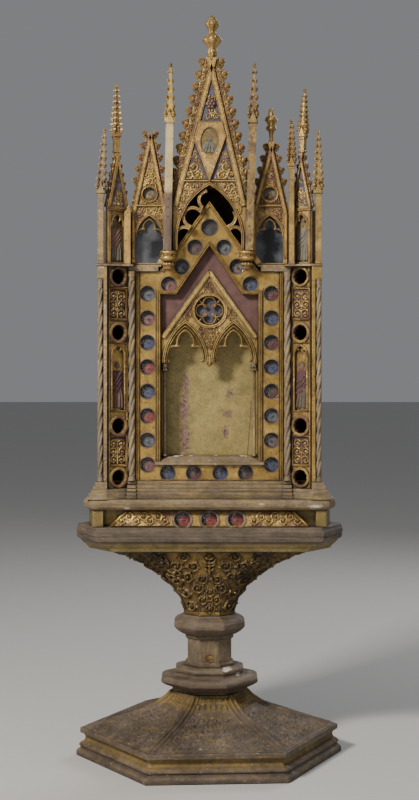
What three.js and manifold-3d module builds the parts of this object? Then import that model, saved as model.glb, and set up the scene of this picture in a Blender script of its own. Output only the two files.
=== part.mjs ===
// A Gothic reliquary tabernacle in carved and gilded wood, standing on a hexagonal foot.
// Millimetres. +Z is up and the front faces -Y. The origin is on the stem's axis, at the underside.
import * as THREE from 'three';
import { mergeVertices } from 'three/addons/utils/BufferGeometryUtils.js';
import Module from 'manifold-3d';

const wasm = await Module();
wasm.setup();

// ---------- driving dimensions ----------
const GAP = 0.3;
const DEGREE = Math.PI / 180;

// heights at which one storey ends and the next begins
const PLINTH_TOP = 51;
const BELL_TOP = 119;
const KNOP_TOP = 165;
const SHAFT_TOP = 222;
const COLLAR_TOP = 259;
const CAPITAL_TOP = 378;
const SHELF_TOP = 423.4;
const PREDELLA_TOP = 453.7;
const CORNICE_TOP = 473.4;
const FRAME_BOTTOM = 505;
const WING_BOTTOM = 492.5;
const FRAME_TOP = 884;
const WING_TOP = 892;
const SILL_TOP = 896;
const ROOF = 1003;

// planes across the depth, from the front to the back
const CANOPY_FRONT = -66;
const FRAME_FRONT = -48;
const FRAME_THICK = 12;
const BACKING_THICK = 8;
const NICHE_BACK = 0;
const BACK_INSIDE = 45;
const BACK_OUTSIDE = 57;

const FOOT_TURN = 3.5 * DEGREE;
const FRAME_HALF = 146.5;
const NICHE_HALF = 88.4;
const NICHE_BOTTOM = 534;
const NICHE_HEAD = 842.5;
const CHEVRON_INNER = { apex: 931, foot: 60 };
const CHEVRON_OUTER = { apex: 1012, slope: 1.393 };
const RELIC_RADIUS = 13.85;
const RELIC_FACETS = 10;
const COLUMN_OF_RELICS = { x: 112.5, bottom: 534, pitch: 44.3, count: 8 };
const ROW_OF_RELICS = { z: 519, x: [-75.7, -28.3, 19.6, 65.4] };
const CHEVRON_RELICS = [[0, 964, 15], [26.4, 928], [50, 893], [74, 861]];
const TRACERY = { apex: 888, foot: 764.4, spring: 719, bottom: 718.3 };
const TRACERY_ARCH = { centre: 43.8, half: 37.6, rise: 72 };

const WING_START = [147, -49];
const WING_ANGLE = 32.3 * DEGREE;
const WING_WIDTH = 42;
const WING_THICK = 12;
const WING_HOLES = [874, 773, 605, 512];
const WING_HOLE = { x: 21, radius: 14.5, ring: 19, proud: 4 };
const SIDE_X = 187;
const CASE_HALF = 201.5;
const SIDE_THICK = 13;

// ---------- surfaces ----------
const finish = (color, roughness, metalness) =>
  new THREE.MeshStandardMaterial({ color, roughness, metalness });
const FINISH = {
  gilding: finish(0xb4965a, 0.45, 0.6),
  darkGilding: finish(0x7a6238, 0.5, 0.5),
  wornWood: finish(0x6f5f4c, 0.8, 0.1),
  bareWood: finish(0x4a3a2b, 0.85, 0),
  nichePanel: finish(0x8c7d48, 0.6, 0.3),
  rosePaint: finish(0x8a5055, 0.7, 0),
  glass: finish(0x5a6068, 0.15, 0),
};

// ---------- solids ----------
function toSolid(geometry) {
  const bare = geometry.clone();
  ['normal', 'uv'].forEach((name) => bare.deleteAttribute(name));
  const merged = mergeVertices(bare, 1e-3);
  return new wasm.Manifold(new wasm.Mesh({
    numProp: 3,
    vertProperties: merged.attributes.position.array,
    triVerts: new Uint32Array(merged.index.array),
  }));
}

function toGeometry(solid) {
  const mesh = solid.getMesh();
  const geometry = new THREE.BufferGeometry();
  geometry.setAttribute('position', new THREE.BufferAttribute(mesh.vertProperties, 3));
  geometry.setIndex(new THREE.BufferAttribute(mesh.triVerts, 1));
  return geometry;
}

const union = (geometries) => geometries.map(toSolid).reduce((all, one) => all.add(one));
const join = (...geometries) => toGeometry(union(geometries));
const cut = (body, ...tools) => toGeometry(toSolid(body).subtract(union(tools)));

// A box between two corners.
function box(low, high) {
  const size = high.map((value, axis) => value - low[axis]);
  const middle = high.map((value, axis) => (value + low[axis]) / 2);
  return new THREE.BoxGeometry(...size).translate(...middle);
}

const points = (pairs) => pairs.map(([x, y]) => new THREE.Vector2(x, y));
const mirrored = (pairs) => [...pairs, ...pairs.slice().reverse().map(([x, z]) => [-x, z])];

// A board standing upright: an outline in X and Z, with holes, between two depths.
function board(outline, front, back, holes = []) {
  const shape = new THREE.Shape(points(outline));
  shape.holes = holes.map((hole) => new THREE.Path(points(hole)));
  const geometry = new THREE.ExtrudeGeometry(shape, { depth: back - front, bevelEnabled: false });
  return geometry.rotateX(Math.PI / 2).translate(0, back, 0);
}

// A layer lying flat: an outline in X and Y between two heights.
function layer(outline, bottom, top) {
  const shape = new THREE.Shape(points(outline));
  const depth = top - bottom;
  return new THREE.ExtrudeGeometry(shape, { depth, bevelEnabled: false }).translate(0, 0, bottom);
}

// A rail running along X: a profile in Y and Z between two ends.
function rail(profile, from, to) {
  const shape = new THREE.Shape(points(profile));
  const geometry = new THREE.ExtrudeGeometry(shape, { depth: to - from, bevelEnabled: false });
  return geometry.rotateY(Math.PI / 2).rotateX(Math.PI / 2).translate(from, 0, 0);
}

// Joins rings of points, one above the other, into a closed body. Each ring is { z, plan }.
function loft(rings) {
  const count = rings[0].plan.length;
  const last = (rings.length - 1) * count;
  const positions = rings.flatMap(({ z, plan }) => plan.flatMap(([x, y]) => [x, y, z]));
  const faces = [];
  for (let start = 0; start < last; start += count) {
    for (let i = 0; i < count; i += 1) {
      const a = start + i;
      const b = start + (i + 1) % count;
      faces.push(a, b, b + count, a, b + count, a + count);
    }
  }
  const cap = (plan) => THREE.ShapeUtils.triangulateShape(points(plan), []);
  cap(rings[0].plan).forEach(([a, b, c]) => faces.push(c, b, a));
  cap(rings.at(-1).plan).forEach(([a, b, c]) => faces.push(a + last, b + last, c + last));
  const geometry = new THREE.BufferGeometry();
  geometry.setAttribute('position', new THREE.Float32BufferAttribute(positions, 3));
  return geometry.setIndex(faces);
}

// ---------- outlines ----------
function polygon(sides, radius, start = 0) {
  return Array.from({ length: sides }, (_, i) => {
    const angle = start + (i * 2 * Math.PI) / sides;
    return [radius * Math.cos(angle), radius * Math.sin(angle)];
  });
}

const circle = (x, z, radius, facets = RELIC_FACETS) =>
  polygon(facets, radius, Math.PI / facets).map(([u, v]) => [x + u, z + v]);

const square = (half) => [[-half, -half], [half, -half], [half, half], [-half, half]];

// An octagon given by its front edge, depth, width and side edge, all halved.
function octagon(front, depth, wide, side) {
  const quarter = [[front, -depth], [wide, -side], [wide, side], [front, depth]];
  return [...quarter, ...quarter.map(([x, y]) => [-x, -y])];
}

// A pointed arch from its right springing to its left one. Each cusp points inwards from the
// place given as a share of the way round, and the foils between cusps stay on the arch.
function pointedArch(half, rise, cusps = [], reach = 0, steps = 12) {
  const radius = (half * half + rise * rise) / (2 * half);
  const sweep = Math.asin(rise / radius);
  const outline = [];
  for (let step = 0; step <= steps; step += 1) {
    const share = step / steps;
    const side = share <= 0.5 ? 1 : -1;
    const angle = sweep * (1 - Math.abs(2 * share - 1));
    const near = Math.min(1, ...cusps.map((cusp) => Math.abs(share - cusp) * steps / 2));
    const inward = radius - reach * (1 - near);
    outline.push([side * (inward * Math.cos(angle) - radius + half), inward * Math.sin(angle)]);
  }
  return outline;
}

const moved = (outline, x, z) => outline.map(([u, v]) => [u + x, v + z]);

// An arched opening standing on a sill below its springing.
const archedOpening = (arch, sill) => [[-arch[0][0], sill], [arch[0][0], sill], ...arch];

function quatrefoil(x, z, radius) {
  const steps = 24;
  return Array.from({ length: steps }, (_, i) => {
    const angle = (i / steps) * 2 * Math.PI;
    const reach = radius * (0.62 + 0.38 * Math.abs(Math.cos(2 * angle)));
    return [x + reach * Math.cos(angle), z + reach * Math.sin(angle)];
  });
}

// ---------- the scene ----------
const reliquary = new THREE.Group();

function place(name, geometry, material, parent = reliquary) {
  const mesh = new THREE.Mesh(geometry, material);
  mesh.name = name;
  parent.add(mesh);
  return mesh;
}

const SIDES = { left: -1, right: 1 };
const bothSides = (make) => Object.entries(SIDES).forEach(([name, side]) => make(name, side));

// Turns a geometry into its mirror image across the YZ plane when side is -1.
function handed(geometry, side) {
  if (side > 0) return geometry;
  const flipped = toGeometry(toSolid(geometry));
  flipped.scale(-1, 1, 1);
  const faces = flipped.index.array;
  for (let i = 0; i < faces.length; i += 3) [faces[i], faces[i + 1]] = [faces[i + 1], faces[i]];
  return flipped;
}

// ---------- foot and stem ----------
const PLINTH_PROFILE = [
  [0, 245], [9, 245], [12, 242], [16, 236], [18, 240], [22, 240], [25, 236],
  [28, 230], [34, 228], [40, 232], [41.5, 238], [PLINTH_TOP, 238],
];
const BELL_PROFILE = [
  [51, 234], [56, 216], [63, 191], [72, 159], [82, 125], [94, 100], [106, 82], [BELL_TOP, 70],
];

function makeFootPlinth() {
  const body = loft(PLINTH_PROFILE.map(([z, radius]) => ({ z, plan: polygon(6, radius) })));
  const brokenTorus = box([-30, -8, 16.5], [74, 8, 26])
    .rotateZ(-60 * DEGREE).translate(-206, -80, 0);
  return cut(body, brokenTorus);
}

// One ring of the bell: each of the six faces carries a raised leaf between the edge ribs.
function bellRing(z, radius, share) {
  const leaf = 5 * Math.sin(Math.PI * share);
  const relief = [3, 0, leaf, leaf, 0];
  const plan = [];
  for (let side = 0; side < 6; side += 1) {
    const [a, b] = [side, side + 1].map((corner) => polygon(6, 1)[corner % 6]);
    relief.forEach((height, step) => {
      const along = step / relief.length;
      const spread = radius + height;
      plan.push([0, 1].map((axis) => spread * (a[axis] * (1 - along) + b[axis] * along)));
    });
  }
  return { z, plan };
}

function makeFootBell() {
  const rings = BELL_PROFILE.map(([z, radius], i) =>
    bellRing(z + GAP, radius, i / (BELL_PROFILE.length - 1)));
  return loft(rings);
}

// Each row is height, half width, half front edge.
const LOWER_KNOP = [
  [120, 64, 26], [126, 68, 27], [132, 80, 29], [137, 88, 31.3], [143, 88, 31.3], [147, 81, 29],
  [149, 66, 26], [152, 60, 25], [156, 62, 25.3], [161, 62, 25.3], [KNOP_TOP, 52, 21],
];
const SHAFT = [
  [KNOP_TOP, 44, 18.5], [170, 44, 18.5], [172, 40, 17], [214, 40, 17], [217, 44, 18.5],
  [SHAFT_TOP, 44, 18.5],
];
const UPPER_KNOP = [
  [SHAFT_TOP, 46, 19], [226, 52, 21.5], [230, 58, 24], [237, 64.5, 26.8], [245, 64.5, 26.8],
  [250, 60, 25], [255, 50, 21], [COLLAR_TOP, 46.5, 19.3],
];

// A turned-looking octagonal member, lifted clear of the one below.
function octagonalMember(profile) {
  return loft(profile.map(([z, half, edge], i) =>
    ({ z: i ? z : z + GAP, plan: octagon(edge, half, half, edge) })));
}

// Rows of the capital bell: height, half front edge, half depth, half width, half side edge.
const CAPITAL = [
  [COLLAR_TOP + GAP, 19, 46, 46, 19], [265, 20, 50, 50, 20], [278, 22, 50, 54, 21],
  [291, 25, 50, 60, 22], [302, 30, 51, 69, 21], [314, 36, 52, 79, 20], [325, 44, 53, 91, 18],
  [335, 52, 54, 105, 16], [343, 60, 55.5, 118, 14], [350, 68, 57, 130, 12],
  [358, 80, 58.5, 148, 9.5], [364, 89, 60, 166, 7], [372, 105, 61, 196, 4],
  [CAPITAL_TOP, 118, 62, 215, 3],
];

// Leaves climb the capital in three tiers, so each ring swells where a leaf curls outwards.
function leafyRing([z, front, depth, wide, side], index) {
  const corners = octagon(front, depth, wide, side);
  const parts = 2;
  const tier = index % 4;
  const plan = corners.flatMap(([x, y], i) => {
    const [nextX, nextY] = corners[(i + 1) % corners.length];
    return Array.from({ length: parts }, (_, step) => {
      const along = step / parts;
      const swell = 1 + (step % 2 ? 0.018 : -0.006) * tier;
      return [(x + (nextX - x) * along) * swell, (y + (nextY - y) * along) * swell];
    });
  });
  return { z, plan };
}

const makeCapital = () => loft(CAPITAL.map(leafyRing));

// Rows of the shelf: height, half front edge, half depth, half width, half side edge.
const SHELF = [
  [CAPITAL_TOP + GAP, 176, 70, 222, 3], [384, 180, 72, 226, 3], [390, 190, 77, 233, 3],
  [396, 195, 80, 238, 3], [398, 202, 84, 243, 3], [404, 205.5, 85, 245, 3],
  [406, 203.5, 83.5, 243, 3], [408, 205.5, 85, 245, 3], [416, 205.5, 85, 245, 3],
  [418, 203, 83, 243, 3], [SHELF_TOP, 202, 82, 242, 3],
];
const CORNICE = [
  [PREDELLA_TOP + GAP, 206, 72, 221, 38], [456, 210, 78, 226, 39], [460, 213, 82, 229, 40],
  [467, 215, 84, 229, 41], [471, 215, 83, 227, 41], [CORNICE_TOP, 214, 82, 225, 41],
];
const moulding = (profile) =>
  loft(profile.map(([z, ...halves]) => ({ z, plan: octagon(...halves) })));

function buildFootAndStem() {
  const foot = new THREE.Group();
  foot.rotation.z = FOOT_TURN;
  reliquary.add(foot);
  place('foot_plinth', makeFootPlinth(), FINISH.wornWood, foot);
  place('foot_bell', makeFootBell(), FINISH.wornWood, foot);
  place('lower_knop', octagonalMember(LOWER_KNOP), FINISH.wornWood);
  place('stem_shaft', octagonalMember(SHAFT), FINISH.darkGilding);
  place('upper_knop', octagonalMember(UPPER_KNOP), FINISH.wornWood);
  place('capital', makeCapital(), FINISH.darkGilding);
}

// ---------- platform ----------
const PREDELLA = { half: 210, back: 68, front: -72, recess: -50, post: 19, tip: 222 };
const PREDELLA_PANEL = { bottomHalf: 180, topHalf: 150, bottomFront: -72, topFront: -61 };
const PREDELLA_RELICS = { x: [-48.7, 0, 47.6], z: 437, radius: 14.2, back: -56 };

function makePredellaCore() {
  const { half, back, front, recess, post, tip } = PREDELLA;
  const inner = half - post;
  const plan = [
    [-tip, 0], [-half, front], [-inner, front], [-inner, recess],
    [inner, recess], [inner, front], [half, front], [tip, 0], [half, back], [-half, back],
  ];
  return layer(plan, SHELF_TOP + GAP, PREDELLA_TOP);
}

function makePredellaPanel() {
  const { bottomHalf, topHalf, bottomFront, topFront } = PREDELLA_PANEL;
  const back = PREDELLA.recess - GAP;
  const ring = (z, half, front) =>
    ({ z, plan: [[-half, front], [half, front], [half, back], [-half, back]] });
  const body = loft([
    ring(SHELF_TOP + GAP, bottomHalf, bottomFront),
    ring(PREDELLA_TOP - GAP, topHalf, topFront),
  ]);
  const bores = PREDELLA_RELICS.x.map((x) =>
    board(circle(x, PREDELLA_RELICS.z, PREDELLA_RELICS.radius), -90, PREDELLA_RELICS.back));
  return cut(body, ...bores);
}

// The plan of the case, grown outwards: flat front, two hollow wings, corner posts, plain sides.
function casePlan(grow) {
  const half = [
    [140, FRAME_FRONT - 2 - grow], [150, FRAME_FRONT - 2 - grow], [184, -79 - 0.3 * grow],
    [CASE_HALF + grow, -79 - 0.3 * grow], [CASE_HALF + grow, BACK_OUTSIDE],
  ];
  return [...half, ...half.slice().reverse().map(([x, y]) => [-x, y])];
}

// Four reeds step back as they rise. Each row is height and how far the reed stands out.
const REEDS = [
  [CORNICE_TOP + GAP, 18], [478, 18], [479, 14], [485, 14], [486, 10], [491.5, 10],
];
const UPPER_REEDS = [[491.5, 7], [498, 7], [499, 3], [FRAME_BOTTOM - GAP, 3]];

function makeBaseMoulding() {
  const lower = loft(REEDS.map(([z, grow]) => ({ z, plan: casePlan(grow) })));
  const upper = loft(UPPER_REEDS.map(([z, grow]) => ({ z, plan: casePlan(grow) })));
  const wingSpace = (side) => layer([
    [146.8 * side, -95], [183.2 * side, -95], [183.2 * side, -72.5], [190.5 * side, -72.5],
    [190.5 * side, -30], [146.8 * side, -30],
  ], WING_BOTTOM - GAP, FRAME_BOTTOM + 1);
  return toGeometry(toSolid(lower).add(toSolid(upper))
    .subtract(toSolid(wingSpace(1))).subtract(toSolid(wingSpace(-1))));
}

function buildPlatform() {
  place('shelf', moulding(SHELF), FINISH.wornWood);
  place('predella_core', makePredellaCore(), FINISH.gilding);
  place('predella_panel', makePredellaPanel(), FINISH.gilding);
  place('cornice', moulding(CORNICE), FINISH.wornWood);
  place('base_moulding', makeBaseMoulding(), FINISH.gilding);
}

// ---------- front frame and niche ----------
const frameRelics = () => {
  const { x, bottom, pitch, count } = COLUMN_OF_RELICS;
  const columns = Array.from({ length: count }, (_, i) => bottom + i * pitch)
    .flatMap((z) => [[-x, z], [x, z]]);
  const row = ROW_OF_RELICS.x.map((place) => [place, ROW_OF_RELICS.z]);
  const chevron = CHEVRON_RELICS.flatMap(([side, z, radius]) =>
    (side ? [[-side, z, radius], [side, z, radius]] : [[side, z, radius]]));
  return [...columns, ...row, ...chevron];
};

const relicHoles = () => frameRelics().map(([x, z, radius]) =>
  circle(x, z, radius ?? RELIC_RADIUS));

// Where the outer edge of the chevron meets a height.
const chevronHalf = (z) => (CHEVRON_OUTER.apex - z) / CHEVRON_OUTER.slope;

function makeFrontFrame() {
  const outline = mirrored([
    [FRAME_HALF, FRAME_BOTTOM], [FRAME_HALF, FRAME_TOP - GAP],
    [chevronHalf(FRAME_TOP), FRAME_TOP - GAP], [0.01, CHEVRON_OUTER.apex],
  ]);
  const opening = mirrored([
    [NICHE_HALF, NICHE_BOTTOM], [NICHE_HALF, NICHE_HEAD],
    [CHEVRON_INNER.foot, NICHE_HEAD], [0.01, CHEVRON_INNER.apex],
  ]);
  const back = FRAME_FRONT + FRAME_THICK;
  return board(outline, FRAME_FRONT, back, [opening, ...relicHoles()]);
}

// The board behind the front frame closes the relic holes and fills the spandrels of the niche.
function makeBackingBoard() {
  const front = FRAME_FRONT + FRAME_THICK + GAP;
  const outline = mirrored([
    [132, FRAME_BOTTOM], [132, FRAME_TOP - GAP], [82, FRAME_TOP - GAP], [0.01, 1000],
  ]);
  const opening = mirrored([
    [NICHE_HALF, NICHE_BOTTOM], [NICHE_HALF, TRACERY.foot], [0.01, TRACERY.apex + 1],
  ]);
  return board(outline, front, front + BACKING_THICK, [opening]);
}

// A gable over two cusped arches with a pierced rose between them.
function makeNicheTracery() {
  const { centre, half: span, rise } = TRACERY_ARCH;
  const half = NICHE_HALF - 1;
  const arch = pointedArch(span, rise, [0.34, 0.66], 14, 20);
  const arches = [1, -1].flatMap((side) => moved(arch, side * centre, TRACERY.spring));
  const outline = [
    [half, TRACERY.bottom], [half, TRACERY.foot - 1], [0, TRACERY.apex - 1],
    [-half, TRACERY.foot - 1], [-half, TRACERY.bottom],
    [-centre - span, TRACERY.bottom], ...arches.reverse(), [centre + span, TRACERY.bottom],
  ];
  const front = FRAME_FRONT + 7;
  const rose = quatrefoil(0, 813.6, 27);
  const body = board(outline, front, front + 10, [rose]);
  const gable = {
    half: half - 5, foot: TRACERY.foot + 6, apex: TRACERY.apex - 2, depth: 1, bar: 9, proud: 4,
  };
  return join(body, ...gableParts(gable).map((part) => part.translate(0, front, 0)));
}

function makeNicheSill() {
  const nose = FRAME_FRONT - 8;
  const under = NICHE_BOTTOM + 0.5;
  const front = [[nose, under], [FRAME_FRONT - GAP, under], [FRAME_FRONT - GAP, under + 6],
    [nose, under + 2.5]];
  const inner = [[FRAME_FRONT - 2, under - 0.2], [NICHE_BACK - GAP, under - 0.2],
    [NICHE_BACK - GAP, 548], [-36, 548], [FRAME_FRONT - 2, under + 5]];
  return join(rail(front, -98.7, 98.7), rail(inner, GAP - NICHE_HALF, NICHE_HALF - GAP));
}

// Jambs and head behind the opening, as one shallow frame round the niche.
function makeNicheLining() {
  const front = FRAME_FRONT + FRAME_THICK + BACKING_THICK + 2 * GAP;
  const outer = mirrored([[100, NICHE_BOTTOM], [100, 906]]);
  const inner = mirrored([[NICHE_HALF, NICHE_BOTTOM - 1], [NICHE_HALF, 896]]);
  const bottomless = board(outer, front, NICHE_BACK - GAP);
  return cut(bottomless, board(inner, front - 5, NICHE_BACK + 5));
}

function makeNicheColonnette() {
  const rows = [
    [548, 5], [552, 5], [553, 2.6], [700, 2.6], [702, 4], [705, 3.2], [711, 4.6], [717.8, 6],
  ];
  return loft(rows.map(([z, radius], i) => ({ z: i ? z : z + GAP, plan: polygon(6, radius) })));
}

function buildFrontAndNiche() {
  place('front_frame', makeFrontFrame(), FINISH.gilding);
  place('backing_board', makeBackingBoard(), FINISH.rosePaint);
  place('niche_tracery', makeNicheTracery(), FINISH.gilding);
  place('niche_sill', makeNicheSill(), FINISH.gilding);
  place('niche_lining', makeNicheLining(), FINISH.bareWood);
  const panel = board(mirrored([[100, NICHE_BOTTOM], [100, 906]]), NICHE_BACK, NICHE_BACK + 8);
  place('niche_panel', panel, FINISH.nichePanel);
  bothSides((name, side) => {
    const colonnette = place(`niche_colonnette_${name}`, makeNicheColonnette(), FINISH.gilding);
    colonnette.position.set(side * 81.5, FRAME_FRONT + 12, 0);
  });
}

// ---------- wings ----------
// A wing is built lying along +X from its inner edge, with its face on y = 0.
function makeWing() {
  const { x, radius, ring, proud } = WING_HOLE;
  const outline = [[1, WING_BOTTOM], [WING_WIDTH, WING_BOTTOM], [WING_WIDTH, WING_TOP],
    [1, WING_TOP]];
  const solidPanel = board(outline, 0, WING_THICK);
  const field = (bottom, top) => box([5, -1, bottom], [WING_WIDTH - 4, 3, top]);
  const fields = [field(797, 853), field(534, 587)];
  const figure = archedOpening(pointedArch(13.5, 17), -100);
  const niche = board(moved(figure, x, 733), -1, 5);
  let wing = toSolid(solidPanel).subtract(union([...fields, niche]));
  WING_HOLES.forEach((z) => {
    const height = Math.min(ring, WING_TOP - z, z - WING_BOTTOM);
    wing = wing.add(toSolid(board(circle(x, z, height), -proud, 1)));
  });
  WING_HOLES.forEach((z) => {
    wing = wing.subtract(toSolid(board(circle(x, z, radius), -proud - 1, WING_THICK + 1)));
  });
  return toGeometry(wing);
}

// A twisted colonnette: a rounded square bar that turns as it rises, with base and capital.
function makeTwistedColonnette(radius, bottom, top) {
  const foot = bottom + 8;
  const neck = top - 14;
  const steps = 12;
  const twist = steps * 30 * DEGREE;
  const rings = [{ z: bottom, plan: polygon(6, radius * 1.15) }];
  for (let step = 0; step <= steps; step += 1) {
    const share = step / steps;
    const plan = polygon(6, radius, share * twist).map(([x, y], i) =>
      (i % 2 ? [x * 0.78, y * 0.78] : [x, y]));
    rings.push({ z: foot + (neck - foot) * share, plan });
  }
  rings.push({ z: top, plan: polygon(6, radius * 1.15, twist) });
  return loft(rings);
}

// A nook in the post holds the outer colonnette. The block above the colonnette closes it.
const POST = { inner: 183.5, seat: 191, front: -78, back: -50 };
const NOOK = { x: 190, y: -68.4, top: 869.3 };

function makeCornerPost() {
  const { inner, seat, front, back } = POST;
  const plan = [
    [inner, front], [NOOK.x, front], [NOOK.x, NOOK.y], [CASE_HALF, NOOK.y], [CASE_HALF, back],
    [seat, back], [seat, -60.5], [inner, -72.3],
  ];
  const block = box([NOOK.x - 1, front, NOOK.top], [CASE_HALF, NOOK.y + 1, WING_TOP]);
  return join(layer(plan, FRAME_BOTTOM, WING_TOP), block);
}

function wingGroup(side) {
  const group = new THREE.Group();
  group.position.set(side * WING_START[0], WING_START[1], 0);
  group.rotation.z = -side * WING_ANGLE;
  reliquary.add(group);
  return group;
}

function buildWings() {
  bothSides((name, side) => {
    const group = wingGroup(side);
    place(`wing_${name}`, handed(makeWing(), side), FINISH.gilding, group);
    place(`corner_post_${name}`, handed(makeCornerPost(), side), FINISH.gilding);
    const inner = makeTwistedColonnette(5.8, FRAME_BOTTOM + GAP, FRAME_TOP - 0.5);
    const innerMesh = place(`inner_colonnette_${name}`, inner, FINISH.gilding);
    innerMesh.position.set(side * 140.6, -55, 0);
    const outer = makeTwistedColonnette(4.8, FRAME_BOTTOM + GAP, NOOK.top - GAP);
    const outerMesh = place(`outer_colonnette_${name}`, outer, FINISH.gilding);
    outerMesh.position.set(side * 195.8, -74.3, 0);
  });
}

// ---------- case ----------
// The roof is flat over the windows and rises as a tapering hood behind the canopy.
const BOARD = 8;
const HOOD = { foot: 70, top: 57, height: ROOF + 40 };

function buildCase() {
  bothSides((name, side) => {
    const plan = [[SIDE_X, -49.5], [SIDE_X + SIDE_THICK, -49.5],
      [SIDE_X + SIDE_THICK, BACK_INSIDE - GAP], [SIDE_X, BACK_INSIDE - GAP]];
    const body = layer(plan, FRAME_BOTTOM, ROOF - BOARD - GAP);
    place(`side_board_${name}`, handed(body, side), FINISH.wornWood);
  });
  const outside = SIDE_X + SIDE_THICK;
  const hood = [[HOOD.foot, ROOF], [HOOD.top, HOOD.height]];
  const back = mirrored([[outside, FRAME_BOTTOM], [outside, ROOF], ...hood]);
  place('back_board', board(back, BACK_INSIDE, BACK_OUTSIDE), FINISH.bareWood);
  const edge = SIDE_X - 1;
  const outline = mirrored([[edge, ROOF - BOARD], [edge, ROOF], ...hood]);
  const under = mirrored([
    [HOOD.foot - BOARD, ROOF - BOARD - 1], [HOOD.top - BOARD, HOOD.height - BOARD],
  ]);
  const roof = cut(board(outline, -37, BACK_INSIDE - GAP), board(under, -60, BACK_INSIDE + 1));
  place('roof_board', roof, FINISH.bareWood);
}

// ---------- crown ----------
// One crocket: a curled leaf standing on an edge that runs along X, curling towards +X.
function crocket(size, depth) {
  const outline = [[-0.5, 0], [0.5, 0], [0.25, 0.35], [0.55, 0.8], [-0.2, 1]];
  return board(outline.map(([x, z]) => [x * size, z * size]), -depth / 2, depth / 2);
}

// The left slope of a gable whose apex is at the origin: a raised bar, with an optional coping
// outside it that carries crockets over a share of its length, given by reach.
function rakingEdge({ run, rise, depth, bar, proud, coping = 0, crockets = 0, size, reach = 1 }) {
  const length = Math.hypot(run, rise);
  const back = depth - 0.6;
  const step = coping ? [[0, 0.4], [0, coping], [back, coping]] : [[back, 0.4]];
  const moulding = rail([[-proud, -bar], [back, -bar], ...step.reverse(), [-proud, 0.4]], -length, 0);
  const leaves = Array.from({ length: crockets }, (_, i) => crocket(size, depth * 0.85)
    .translate(-length * reach * (i + 0.55) / crockets, depth / 2, coping - 1));
  return [moulding, ...leaves].map((part) => part.rotateY(-Math.atan2(rise, run)));
}

// Both slopes of a gable between feet at x = -half and half. Its apex stands at x = lean.
function gableParts({ half, foot, apex, lean = 0, ...edge }) {
  return [-1, 1].flatMap((side) =>
    rakingEdge({ run: half - side * lean, rise: apex - foot, ...edge })
      .map((part) => handed(part, -side).translate(lean, 0, apex)));
}

// A slender spire or pinnacle of square plan. The crockets are steps in its outline.
function pinnacleRings(half, bottom, shaftTop, top, tiers) {
  const rings = [
    { z: bottom, plan: square(half) }, { z: shaftTop, plan: square(half) },
    { z: shaftTop + half * 0.6, plan: square(half + 2.5) },
    { z: shaftTop + half * 3, plan: square(half * 0.72) },
  ];
  const start = shaftTop + half * 3;
  for (let tier = 0; tier < tiers; tier += 1) {
    const share = (tier + 0.35) / tiers;
    const width = half * (0.72 - 0.5 * share);
    const z = start + (top - 8 - start) * share;
    rings.push({ z, plan: square(width) }, { z: z + 4, plan: square(width + 3.2) });
  }
  rings.push({ z: top - 6, plan: square(1.6) }, { z: top - 3, plan: square(3.4) },
    { z: top, plan: square(1.2) });
  return rings;
}

const pinnacle = (...sizes) => loft(pinnacleRings(...sizes));

// Leans a geometry sideways above a height, as warped wood does.
function leaning(geometry, from, slope) {
  const place = geometry.attributes.position;
  for (let i = 0; i < place.count; i += 1)
    place.setX(i, place.getX(i) + Math.max(0, place.getZ(i) - from) * slope);
  return geometry;
}

const SILL_PLAN = [
  [87, -54], [134, -54], [138, -71], [156, -71], [184, -80], [203, -80], [203, -50.5],
  [186, -50.5], [160, -36.5], [87, -36.5],
];

function makeSill() {
  const thin = layer(SILL_PLAN, WING_TOP + GAP, SILL_TOP);
  const under = layer([[92.5, -54], [146.5, -55], [146.5, -37], [92.5, -37]],
    FRAME_TOP, WING_TOP + 1);
  return join(thin, under);
}

const FINIAL_ROWS = [
  [1260, 5], [1279, 10], [1286, 7], [1292, 13], [1300, 18], [1308, 11], [1314, 5.5],
  [1322, 9], [1330, 13], [1336, 9], [1340, 6], [1344, 2.5],
];

const BAY_FINIAL_ROWS = [
  [1109, 3.4], [1134, 4], [1142, 10], [1150, 7], [1158, 12], [1166, 8], [1173, 5], [1181, 2],
];

// A leafy knob in tiers, four-lobed in plan.
function leafyFinial(rows) {
  const star = (radius) => polygon(8, radius, 0.05).map(([x, y], i) =>
    (i % 2 ? [x * 0.72, y * 0.72] : [x, y]));
  return loft(rows.map(([z, radius]) => ({ z, plan: star(radius) })));
}

const BAY = {
  centre: 109, half: 32, foot: 987, front: -50, thick: 10, ledge: 1003, notch: 12, pitch: 21.5,
};
const BAY_GABLE = {
  left: { apex: 1143, lean: -2, crockets: 5 },
  right: { apex: 1119, lean: 3, crockets: 4 },
};
const BROKEN_TOP = 1134;
const WINDOW = { half: 25, spring: 947, rise: 40 };

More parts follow.
